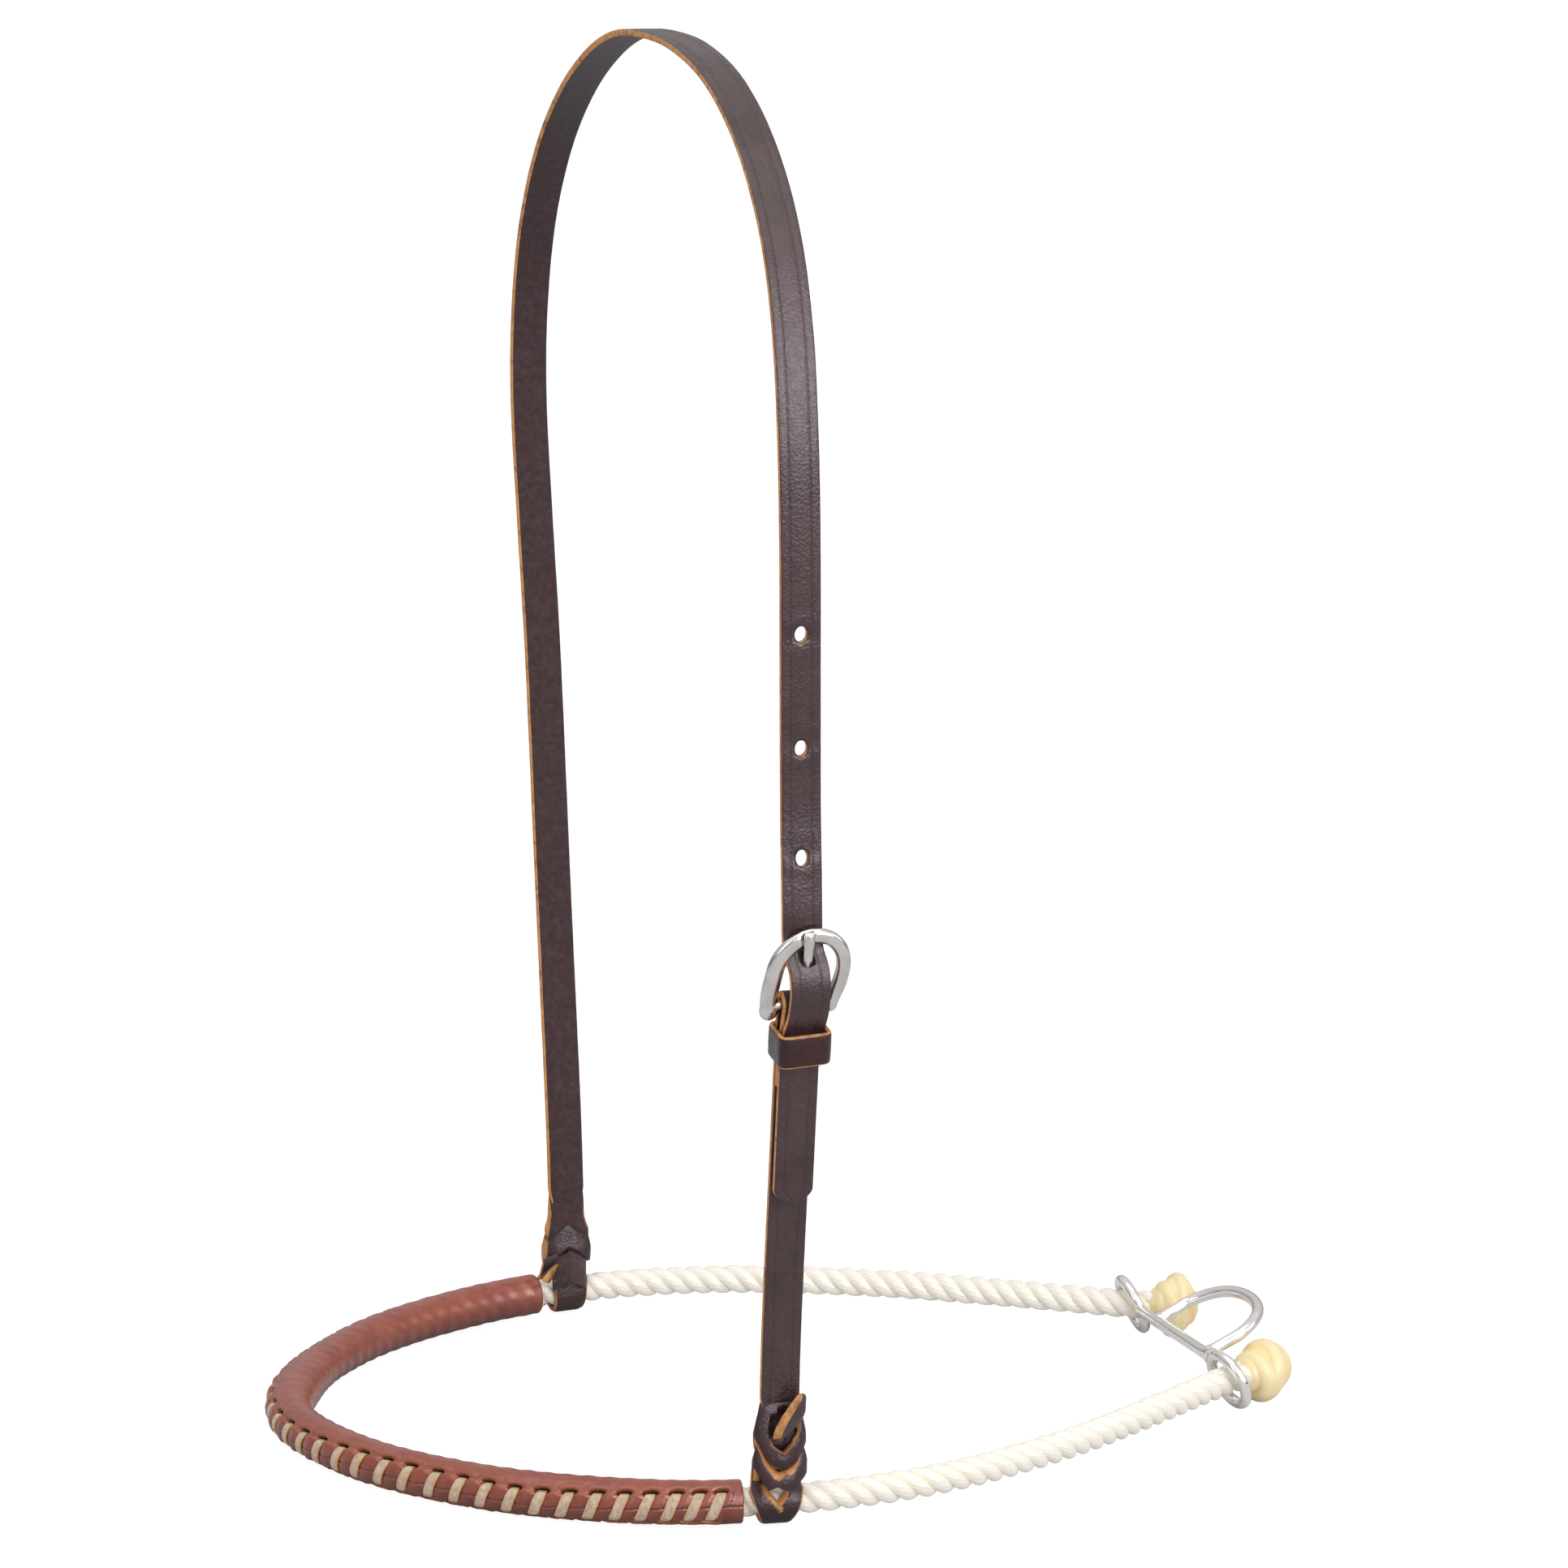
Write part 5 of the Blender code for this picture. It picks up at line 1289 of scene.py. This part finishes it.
def build_upper_band(title, side):
    """The band round the strap at the top of a blood knot; the near one has a slit."""
    plan = band_plan(UPPER_WIDTHS[side], UPPER_DEPTHS[side], [(10, 0.2), (20, 0.2), (33, 0.0)])
    top = table([(0, 33), (1, 33)])
    front = table([(-1, 21.5), (-0.91, 20.2), (-0.37, 13.2), (0.03, 12.0), (0.5, 14.2), (1, 19.4)])
    back = table([(-1, 19.6), (-0.85, 16.6), (-0.5, 18.8), (-0.1, 21.4), (0, 21.8), (0.1, 21.4),
                  (0.5, 19.2), (0.85, 17.4), (1, 20)])
    foot = table([(-1, 0.6), (-0.4, 0.55), (0, 0.2), (0.5, 0.4), (1, 0.6)])
    rise = table([(0, 0.7), (1, 0.7)])
    face_slot, low_slot = (GRAIN, EDGE) if side < 0 else (BACK, BACK)
    band = knot_band(side, plan, (front, top), (back, top), foot, rise, face_slot, face_slot, low_slot)
    upper = band.build(f"{title}_knot_upper_band", KNOT_LEATHER)
    if side > 0:
        sides = (table(UPPER_WIDTHS[side]), table([(17, -1), (18, 1.2), (21, 1.2), (25, 0.6), (33, 0.3)]),
                 table([(20.5, -1), (22, 0.6), (26, 0.6), (27, -1)]))
        set_mask(upper, "rim", lambda point: worn_rim(point, *sides))
    else:
        wider = [(1.0 + 1.10 * (x - 1.0), 24 + 1.10 * (z - 24)) for x, z in UPPER_SLIT]
        carve(upper, slit_cutter(side, UPPER_SLIT, wider, 2.0, 4.4, 1.1))
    place(upper, "headstall", f"{title}_knot_link_2")


def build_lower_band(title, side):
    """The band at the foot of a blood knot; the far one has a plate down to its wrap."""
    plan = band_plan(LOWER_WIDTHS, LOWER_DEPTHS, [(4, 0.4), (21, 0.0)])
    front = (table(LOWER_FRONTS[side]),
             table([(-1, 19.5), (-0.66, 15.5), (-0.15, 11.3), (0.2, 12.3), (0.55, 15.5), (1, 19.5)]))
    back = (table([(-1, 8.0), (-0.85, 7.7), (-0.5, 10.2), (-0.1, 13.2), (0, 13.5), (0.1, 13.2),
                   (0.5, 11.0), (0.85, 8.6), (1, 8.4)]), table([(-1, 20), (0, 22), (1, 20)]))
    foot = table([(-1, 0.9), (-0.4, 0.5), (0, 0.3), (0.5, 0.4), (1, 0.7)])
    rise = table([(-1, 0.5), (-0.75, 0.7), (-0.55, 1.5), (-0.25, 2.7), (-0.06, 1.7), (0.04, 0.9),
                  (0.3, 2.1), (0.6, 1.3), (0.8, 0.7), (1, 0.5)])
    band = knot_band(side, plan, front, back, foot, rise, EDGE, GRAIN, EDGE if side < 0 else BACK)
    if side > 0:
        band.loft(far_plate(), slots=[BACK] * 30, cap_slot=BACK)
    lower = band.build(f"{title}_knot_lower_band", KNOT_LEATHER)
    if side > 0:
        sides = (table(LOWER_WIDTHS), table([(7.5, -1), (8.5, 0.9), (16.5, 0.9), (17.5, -1)]),
                 table([(0, -1), (1, -1)]))
        set_mask(lower, "rim", lambda point: worn_rim(point, *sides))
    place(lower, "headstall", f"{title}_knot_link_1")


def build_tails():
    """The strap ends that stand off the two knots."""
    rows = []
    for z, left, right, dark, out, deep in (
            (20.6, -1.6, 0.6, 2.6, 0.4, 2.2), (22.6, -2.1, 0.5, 3.4, 4.2, 3.2),
            (26.0, -1.4, 1.5, 6.4, 6.0, 3.6), (29.25, 0.1, 3.1, 8.0, 7.0, 3.6),
            (32.25, 2.2, 5.1, 8.3, 7.0, 3.2), (35.0, 4.5, 6.9, 8.2, 6.5, 2.0),
            (36.2, 5.7, 6.8, 7.2, 6.2, 0.8)):
        a = Vector((seen(left, out), out))
        b = Vector((seen(right, out), out))
        c = Vector((seen(dark, out - deep), out - deep))
        rows.append((z, *a, *b, *c, *(a + c - b)))
    place(slab("near_knot_tail", -1, rows, (EDGE, BACK, EDGE, BACK)), "headstall", "near_knot_tab")
    rows = [((-3.4, -5.2, 8.4), (0, -0.1, 1.0), 1.6, (-0.5, -1, 0)),
            ((-6.6, -9.2, 8.3), (0.1, -0.1, 1.0), 2.4, (-0.8, -1, 0.1)),
            ((-9.2, -12.0, 7.4), (-0.1, -0.1, 1.0), 2.4, (-0.5, -1, 0.2)),
            ((-10.9, -13.2, 6.8), (-0.5, -0.1, 1.0), 1.6, (-0.3, -1, 0.3)),
            ((-12.1, -13.5, 6.7), (-0.5, -0.1, 1.0), 0.8, (-0.2, -1, 0.4))]
    place(leaf("far_knot_tail", rows, 1.6, 1, (EDGE, BACK, BACK)), "headstall", "far_knot_tab")


def build_knots():
    """Both blood knots: two leather bands, a tail and the wrap round the rope."""
    for title, side in (("near", -1), ("far", 1)):
        build_upper_band(title, side)
        build_lower_band(title, side)
        build_wrap(title, side)
    build_tails()


def build_wrap(title, side):
    """The strap's end where it goes round the rope, with its V slit on the outer side."""
    spot = RopeFrame(KNOT_DISTANCE - 0.0022 if side > 0 else -KNOT_DISTANCE)
    inner = 5.1
    outer = 7.1
    rows = []
    flare = table([(-90, 4.5), (-50, 4.7), (-20, 6.1), (10, 7.4), (45, 8.25), (60, 8.3)])
    back = table([(90, 4.5), (120, 5.0), (180, 5.6)])
    for k in range(6):
        rise = 6.2 - 1.1 * k
        rows.append((62, rise, 8.0 - 0.25 * rise * 0.6))
    for k in range(49):
        angle = 55 - (55 + 180) * k / 48
        width = flare(angle) if angle > -90 else back(-angle if angle < 0 else angle)
        rows.append((angle, 0.0, width))
    for k in range(1, 5):
        rows.append((-180, 1.4 * k, 5.6 + 0.1 * k))
    rings = []
    xs = [-1, -0.95] + [-0.875 + 0.125 * k for k in range(15)] + [0.95, 1]
    for angle, rise, width in rows:
        turn = math.radians(angle)
        ring = []
        curl = 0.9 if angle > 0 else 0.0
        for radius, order in ((outer, xs), (inner, list(reversed(xs)))):
            for x in order:
                edge = 0.35 * ease((abs(x) - 0.75) / 0.25) if radius == outer else 0.0
                bend = curl * ease((abs(x) - 0.45) / 0.55) * ease(angle / 50)
                level = (radius - edge - bend) * MM
                point = spot.point(turn, level, width * x * MM)
                if rise:
                    lean = -0.30 if angle > 0 else 0.12
                    up = Vector((0, side * lean, 1)).normalized()
                    point = point + up * (rise * MM)
                point.z = max(point.z, FLOOR_GAP)
                ring.append(point)
        rings.append(ring)
    slots = [EDGE] + [GRAIN] * 16 + [EDGE] * 2 + [BACK] * 18 + [EDGE]
    shape = Shape()
    shape.loft(rings, slots=slots, cap_slot=EDGE if side < 0 else BACK)
    wrap = shape.build(f"{title}_knot_wrap_leather", KNOT_LEATHER)
    carve(wrap, slit_cutter(side, WRAP_GAP, WRAP_SLIT, 0.0, 2.4, 3.0))

    def golden(point):
        x, out, z = knot_place(side, point)
        left = float(np.interp(z, (-2.2, -0.4, 4.2, 6.4), (0.2, -1.3, -5.2, -5.8)))
        if out < -2 or x > 0 or z > 7 or z < -2:
            return 0.0
        return ease((x - left) / 0.6 + 0.5)

    # Painted shadow on the far wrap's upper face, under the plate's lower edge.
    def shaded(point):
        x, _, z = knot_place(side, point)
        arch = 2.4 + 2.4 * (1 - min(1.0, abs(x + 1.0) / 5.6))
        return 0.75 * ease((z - arch) / 1.0) if side > 0 else 0.0

    set_mask(wrap, "rim", golden)
    set_mask(wrap, "mark", shaded)
    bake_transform(wrap)
    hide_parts(f"{title}_knot_wrap")


# Buckle

def build_buckle():
    """The cast horseshoe frame with its bar."""
    outline = [(-9.7, -2.6), (-10.2, 0.6), (-10.1, 4.5), (-9.4, 9.0), (-8.7, 12.8), (-7.0, 16.8),
               (-3.6, 20.4), (1.6, 22.4), (7.0, 21.2), (10.6, 17.4), (11.9, 12.6), (11.3, 7.2),
               (10.0, 2.6), (9.0, -1.4)]
    path = smooth_path([Vector((x * MM, 0, z * MM)) for x, z in outline], 0.0006)
    rings = []
    for i, point in enumerate(path):
        ahead = heading_at(path, i)
        side = ahead.cross(Vector((0, 1, 0))).normalized()
        share = i / (len(path) - 1)
        wide = 0.00245 + 0.00025 * math.cos(2 * math.pi * (share - 0.22))
        wide *= 1 - 0.22 * ease((share - 0.88) / 0.12)
        deep = 0.0018 * (1 - 0.10 * ease((share - 0.88) / 0.12))
        notch = 0.0009 * math.exp(-((point.x + 0.0001) / 0.0017) ** 6) if point.z > 0.015 else 0.0
        ring = []
        for cos, sin in circle(28):
            x = squarish(cos, 0.92) * wide
            y = squarish(sin, 0.92) * deep
            if y < 0:
                y += notch * min(1.0, -y / deep)
            ring.append(BUCKLE @ (point + side * x + Vector((0, y, 0))))
        rings.append(ring)
    shape = Shape()
    shape.loft(rings)
    for x, z, size in ((-9.9, -1.4, (0.0030, 0.0020, 0.0036)), (9.2, -0.6, (0.0020, 0.0017, 0.0028))):
        shape.loft(ellipsoid_rings(BUCKLE @ Matrix.Translation((x * MM, 0, z * MM)), size))
    ends = [BUCKLE @ Vector((x * MM, 0, 0)) for x in (-9.8, -5, 0, 5, 9.4)]
    shape.loft(tube_rings(ends, 0.0017, 20))
    frame_piece = shape.build("cast_buckle_frame", [SILVER])
    fuse(frame_piece, 0.00022, 5)
    place(frame_piece, "buckle", "buckle_frame")


def build_tongue():
    """The tongue: an eye round the bar and a bevelled shank that lies in the frame's notch."""
    rows = [(0.0, 0.2, 2.4, 1.2, 0.7), (0.0, 0.9, 4.8, 1.1, 0.6), (-0.1, 1.0, 11.0, 0.8, 0.5),
            (0.0, 1.7, 12.6, 0.7, 0.6), (0.0, 2.3, 13.6, 1.0, 0.85), (0.0, 2.6, 15.5, 1.5, 1.0),
            (-0.05, 2.75, 19.5, 1.55, 1.05), (-0.1, 2.75, 22.4, 1.6, 1.0), (-0.1, 2.45, 23.8, 1.55, 0.85),
            (-0.1, 1.8, 24.7, 1.4, 0.5)]
    rings = []
    for middle, out, up, wide, thick in rows:
        ring = []
        for x, y in ((-1, -0.9), (1, -0.9), (1.0, -0.1), (0.66, 0.55), (0.10, 1.0), (-0.10, 1.0),
                     (-0.66, 0.55), (-1.0, -0.1)):
            ring.append(BUCKLE @ (Vector((middle + x * wide, -(out + y * thick), up)) * MM))
        rings.append(ring)
    dense = []
    for low, high in zip(rings, rings[1:]):
        dense += [[a.lerp(b, k / 4) for a, b in zip(low, high)] for k in range(4)]
    dense.append(rings[-1])
    shape = Shape()
    shape.loft(dense)
    eye = []
    profile = ((0.0021, -1), (0.0032, -1), (0.0034, -0.7), (0.0034, 0.7), (0.0032, 1), (0.0021, 1))
    for cos, sin in circle(28):
        eye.append([BUCKLE @ Vector((x * 0.00125, radius * cos, radius * sin)) for radius, x in profile])
    shape.loft(eye, closed=True)
    tongue = shape.build("cast_buckle_tongue", [SILVER])
    fuse(tongue, 0.00015, 2)
    place(tongue, "tongue", "buckle_tongue")


# Tie-down hardware

def build_hardware():
    """Two eyes, the bar welded between them and the dee welded to the bar."""
    heading = math.atan2(EYES.along.y, EYES.along.x)
    meets = []
    for title, side, turn, rise in (("near", -1, NEAR_EYE_TURN, NEAR_BAR_RISE),
                                    ("far", 1, FAR_EYE_TURN, FAR_BAR_RISE)):
        yaw = side * heading + turn
        centre = Vector((0, side * EYES.centre.y, 0))
        matrix = (HARDWARE @ Matrix.Translation(centre) @ Matrix.Rotation(yaw, 4, "Z")
                  @ Matrix.Rotation(math.pi / 2, 4, "Y"))
        rings = []
        for eye_cos, eye_sin in circle(80):
            ring = []
            for cos, sin in circle(24):
                radius = EYE_RADIUS + EYE_WIRE / 2 * cos
                ring.append(matrix @ Vector((radius * eye_cos, radius * eye_sin, EYE_WIRE / 2 * sin)))
            rings.append(ring)
        shape = Shape()
        shape.loft(rings, closed=True)
        place(shape.build(f"{title}_chrome_eye", [CHROME]), "hardware", f"{title}_eye")
        across = math.sqrt(EYE_RADIUS ** 2 - rise ** 2)
        inward = Vector((math.sin(yaw), -math.cos(yaw), 0)) * side
        meets.append(centre + inward * across + Vector((0, 0, rise)))
    near, far = meets
    course = (far - near).normalized()
    count = 60
    path = [HARDWARE @ near.lerp(far, 0.012 + 0.976 * i / count) for i in range(count + 1)]
    radii = []
    for i in range(count + 1):
        swell = 0.30 * math.exp(-(i / 3.0) ** 2) + 0.20 * math.exp(-((count - i) / 2.0) ** 2)
        radii.append(BAR_WIRE / 2 * (1 + swell + 0.02 * rough(path[i], 300)))
    shape = Shape()
    shape.loft(tube_rings(path, radii, 28))
    beads = [(near, (0.6, 1.0, -0.9), (2.0, 2.3, 1.7)), (near, (0.2, 2.6, 0.2), (1.9, 2.4, 1.9)),
             (near, (1.4, 4.6, -0.2), (2.2, 2.6, 1.7)), (near, (0.2, 0.2, 0.9), (1.7, 1.7, 1.5)),
             (far, (0.0, -0.6, 0.0), (2.1, 1.2, 2.1)), (far, (0.1, -2.4, 0.2), (1.8, 1.3, 1.8))]
    for meet, shift, size in beads:
        spot = HARDWARE @ Matrix.Translation(meet + Vector(shift) * MM)
        shape.loft(ellipsoid_rings(spot, tuple(value * MM for value in size)))
    bar = shape.build("chrome_bar", [CHROME])
    fuse(bar, 0.00022, 4)
    place(bar, "hardware", "tie_down_bar")
    share = (DEE_SHIFT - near.y) / (far.y - near.y)
    foot = near.lerp(far, share)
    out = Vector((math.cos(DEE_LIFT), 0, math.sin(DEE_LIFT)))
    out = (out - course * out.dot(course)).normalized()
    half = DEE_WIDTH / 2
    bow = [(-half, 0.0), (-half, DEE_DEPTH * 0.25), (-half, DEE_DEPTH * 0.5),
           (-half * 0.82, DEE_DEPTH * 0.77), (-half * 0.5, DEE_DEPTH * 0.935), (0.0, DEE_DEPTH)]
    bow += [(-along, back) for along, back in reversed(bow[:-1])]
    path = smooth_path([HARDWARE @ (foot + course * along + out * back) for along, back in bow], 0.0008)
    count = len(path) - 1
    shape = Shape()
    shape.loft(tube_rings(path, DEE_WIRE / 2, 28))
    for sign in (-1, 1):
        for back, size in ((0.0012, (0.0025, 0.0028, 0.0023)), (0.0028, (0.0022, 0.0023, 0.0021))):
            spot = HARDWARE @ Matrix.Translation(foot + course * (sign * half) + out * back)
            shape.loft(ellipsoid_rings(spot, size))
    dee = shape.build("chrome_dee", [CHROME])
    fuse(dee, 0.00024, 4)
    place(dee, "hardware", "tie_down_dee")


def paint_stitching():
    """Waxed thread for the fold's stitches."""
    look = Look("waxed_thread", 0.6, Specular_IOR_Level=0.4)
    look.colour(look.mix(look.noise(900, 3), (0.035, 0.022, 0.020), (0.085, 0.058, 0.05)))
    surface = look.relief((look.lines(700, "DIAGONAL"), 0.0001))
    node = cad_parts["fold_stitching"]
    node.data.materials.clear()
    node.data.materials.append(surface)


# Stage, light and camera

def build_stage():
    """A pale floor that stays white to the camera and keeps a soft shadow."""
    shape = Shape()
    span, level = 12.0, -0.0002
    shape.verts = [(x * span, y * span, level) for x, y in ((-1, -1), (1, -1), (1, 1), (-1, 1))]
    shape.faces = [(0, 1, 2, 3)]
    shape.slots = [0]
    shape.uvs = [(0, 0), (1, 0), (1, 1), (0, 1)]
    shape.mark = shape.rim = [0.0] * 4
    surface = bpy.data.materials.new("pale_floor")
    surface.use_nodes = True
    tree = surface.node_tree
    shader = set_inputs(tree.nodes["Principled BSDF"], Base_Color=(0.66, 0.66, 0.66, 1), Roughness=0.9,
                        Specular_IOR_Level=0.1)
    pale = add_node(tree, "BsdfDiffuse", Color=(0.22, 0.22, 0.22, 1))
    glow = add_node(tree, "Emission", Strength=0.92)
    both = add_node(tree, "AddShader")
    mix = add_node(tree, "MixShader")
    path = add_node(tree, "LightPath")
    tree.links.new(pale.outputs[0], both.inputs[0])
    tree.links.new(glow.outputs[0], both.inputs[1])
    tree.links.new(path.outputs["Is Camera Ray"], mix.inputs["Fac"])
    tree.links.new(shader.outputs[0], mix.inputs[1])
    tree.links.new(both.outputs[0], mix.inputs[2])
    tree.links.new(mix.outputs[0], tree.nodes["Material Output"].inputs["Surface"])
    shape.build("floor", [surface])


def build_world():
    """White to the camera, soft grey light for the object, and a banded studio for metal."""
    world = bpy.data.worlds.new("studio")
    bpy.context.scene.world = world
    world.use_nodes = True
    tree = world.node_tree
    back = set_inputs(tree.nodes["Background"], Color=(0.97, 0.98, 1.0, 1), Strength=0.68)
    direction = add_node(tree, "TexCoord")
    split = add_node(tree, "SeparateXYZ")
    ramp = add_node(tree, "ValToRGB")
    stops = [(0.0, 0.50), (0.30, 0.60), (0.43, 0.16), (0.50, 0.10), (0.56, 0.50), (0.66, 0.74), (0.80, 0.74),
             (0.86, 0.95), (0.93, 0.86), (1.0, 0.80)]
    while len(ramp.color_ramp.elements) < len(stops):
        ramp.color_ramp.elements.new(0.5)
    for element, (position, level) in zip(ramp.color_ramp.elements, stops):
        element.position = position
        element.color = (level, level * 0.985, level * 0.975, 1)
    height = add_node(tree, "MapRange", From_Min=-1, From_Max=1)
    tree.links.new(direction.outputs["Generated"], split.inputs[0])
    tree.links.new(split.outputs["Z"], height.inputs["Value"])
    tree.links.new(height.outputs[0], ramp.inputs[0])
    shiny = add_node(tree, "Background", Strength=0.9)
    aim = add_node(tree, "VectorMath")
    aim.operation = "DOT_PRODUCT"
    aim.inputs[1].default_value = (0.266, -0.872, 0.411)
    glow = add_node(tree, "MapRange", From_Min=0.80, From_Max=0.99, To_Min=0.0, To_Max=1.0)
    glow.interpolation_type = "SMOOTHSTEP"
    both = add_node(tree, "Mix")
    both.data_type = "RGBA"
    both.blend_type = "ADD"
    both.inputs[MIX_SECOND].default_value = (4.8, 4.7, 5.1, 1)
    tree.links.new(direction.outputs["Generated"], aim.inputs[0])
    tree.links.new(aim.outputs["Value"], glow.inputs["Value"])
    tree.links.new(ramp.outputs[0], both.inputs[MIX_FIRST])
    tree.links.new(glow.outputs[0], both.inputs[0])
    tree.links.new(both.outputs[MIX_RESULT], shiny.inputs["Color"])
    white = add_node(tree, "Background", Color=(1, 1, 1, 1), Strength=1.0)
    path = add_node(tree, "LightPath")
    first = add_node(tree, "MixShader")
    second = add_node(tree, "MixShader")
    tree.links.new(path.outputs["Is Glossy Ray"], first.inputs["Fac"])
    tree.links.new(back.outputs[0], first.inputs[1])
    tree.links.new(shiny.outputs[0], first.inputs[2])
    tree.links.new(path.outputs["Is Camera Ray"], second.inputs["Fac"])
    tree.links.new(first.outputs[0], second.inputs[1])
    tree.links.new(white.outputs[0], second.inputs[2])
    tree.links.new(second.outputs[0], tree.nodes["World Output"].inputs["Surface"])


def add_lamp(name, location, target, size, power, colour=(1, 1, 1)):
    """A square soft lamp that faces a target."""
    data = bpy.data.lights.new(name, "AREA")
    data.shape = "RECTANGLE"
    data.size, data.size_y = size
    data.energy = power
    data.color = colour
    lamp = bpy.data.objects.new(name, data)
    bpy.context.scene.collection.objects.link(lamp)
    lamp.location = location
    lamp.rotation_euler = (Vector(target) - Vector(location)).to_track_quat("-Z", "Y").to_euler()


def build_camera():
    """The photograph's camera, solved from the object's own points."""
    azimuth, elevation, roll = (math.radians(value) for value in CAMERA_TURN)
    back = Vector((math.sin(azimuth) * math.cos(elevation), -math.cos(azimuth) * math.cos(elevation),
                   math.sin(elevation)))
    data = bpy.data.cameras.new("camera")
    data.sensor_width = SENSOR_WIDTH
    data.lens = SENSOR_WIDTH * FOCUS_PIXELS / PHOTO_PIXELS
    data.clip_start = 0.05
    camera = bpy.data.objects.new("camera", data)
    bpy.context.scene.collection.objects.link(camera)
    camera.location = Vector(CAMERA_AIM) + back * CAMERA_DISTANCE
    turn = back.to_track_quat("Z", "Y").to_matrix().to_4x4() @ Matrix.Rotation(roll, 4, "Z")
    camera.rotation_euler = turn.to_euler()
    bpy.context.scene.camera = camera


build_rope()
build_ball("near_crown_knot", "near_rope_knot", -1, (-0.74, -0.16, 0.65), NEAR_WINDS)
build_ball("far_crown_knot", "far_rope_knot", 1, (-0.93, -0.10, 0.34), FAR_WINDS)
build_cover()
build_lacing("near_lacing", "near_lace", LACE_STATIONS[:20])
build_lacing("far_lacing", "far_lace", LACE_STATIONS[20:])
build_crown_strap()
build_cheek_strap()
build_keeper()
build_knots()
build_buckle()
build_tongue()
build_hardware()
paint_stitching()
build_stage()
build_world()
add_lamp("top_softbox", (-0.1, -0.2, 1.6), (0, 0, 0.15), (1.6, 1.2), 9)
add_lamp("key_softbox", (0.55, -1.75, 0.85), (0, 0, 0.15), (0.9, 0.7), 9)
add_lamp("left_softbox", (-1.4, -1.2, 0.9), (0, 0, 0.15), (0.9, 1.2), 5)
add_lamp("fill_softbox", (1.6, -0.7, 0.7), (0, 0, 0.15), (0.8, 1.0), 3)
build_camera()
bpy.context.scene.view_settings.view_transform = "Standard"
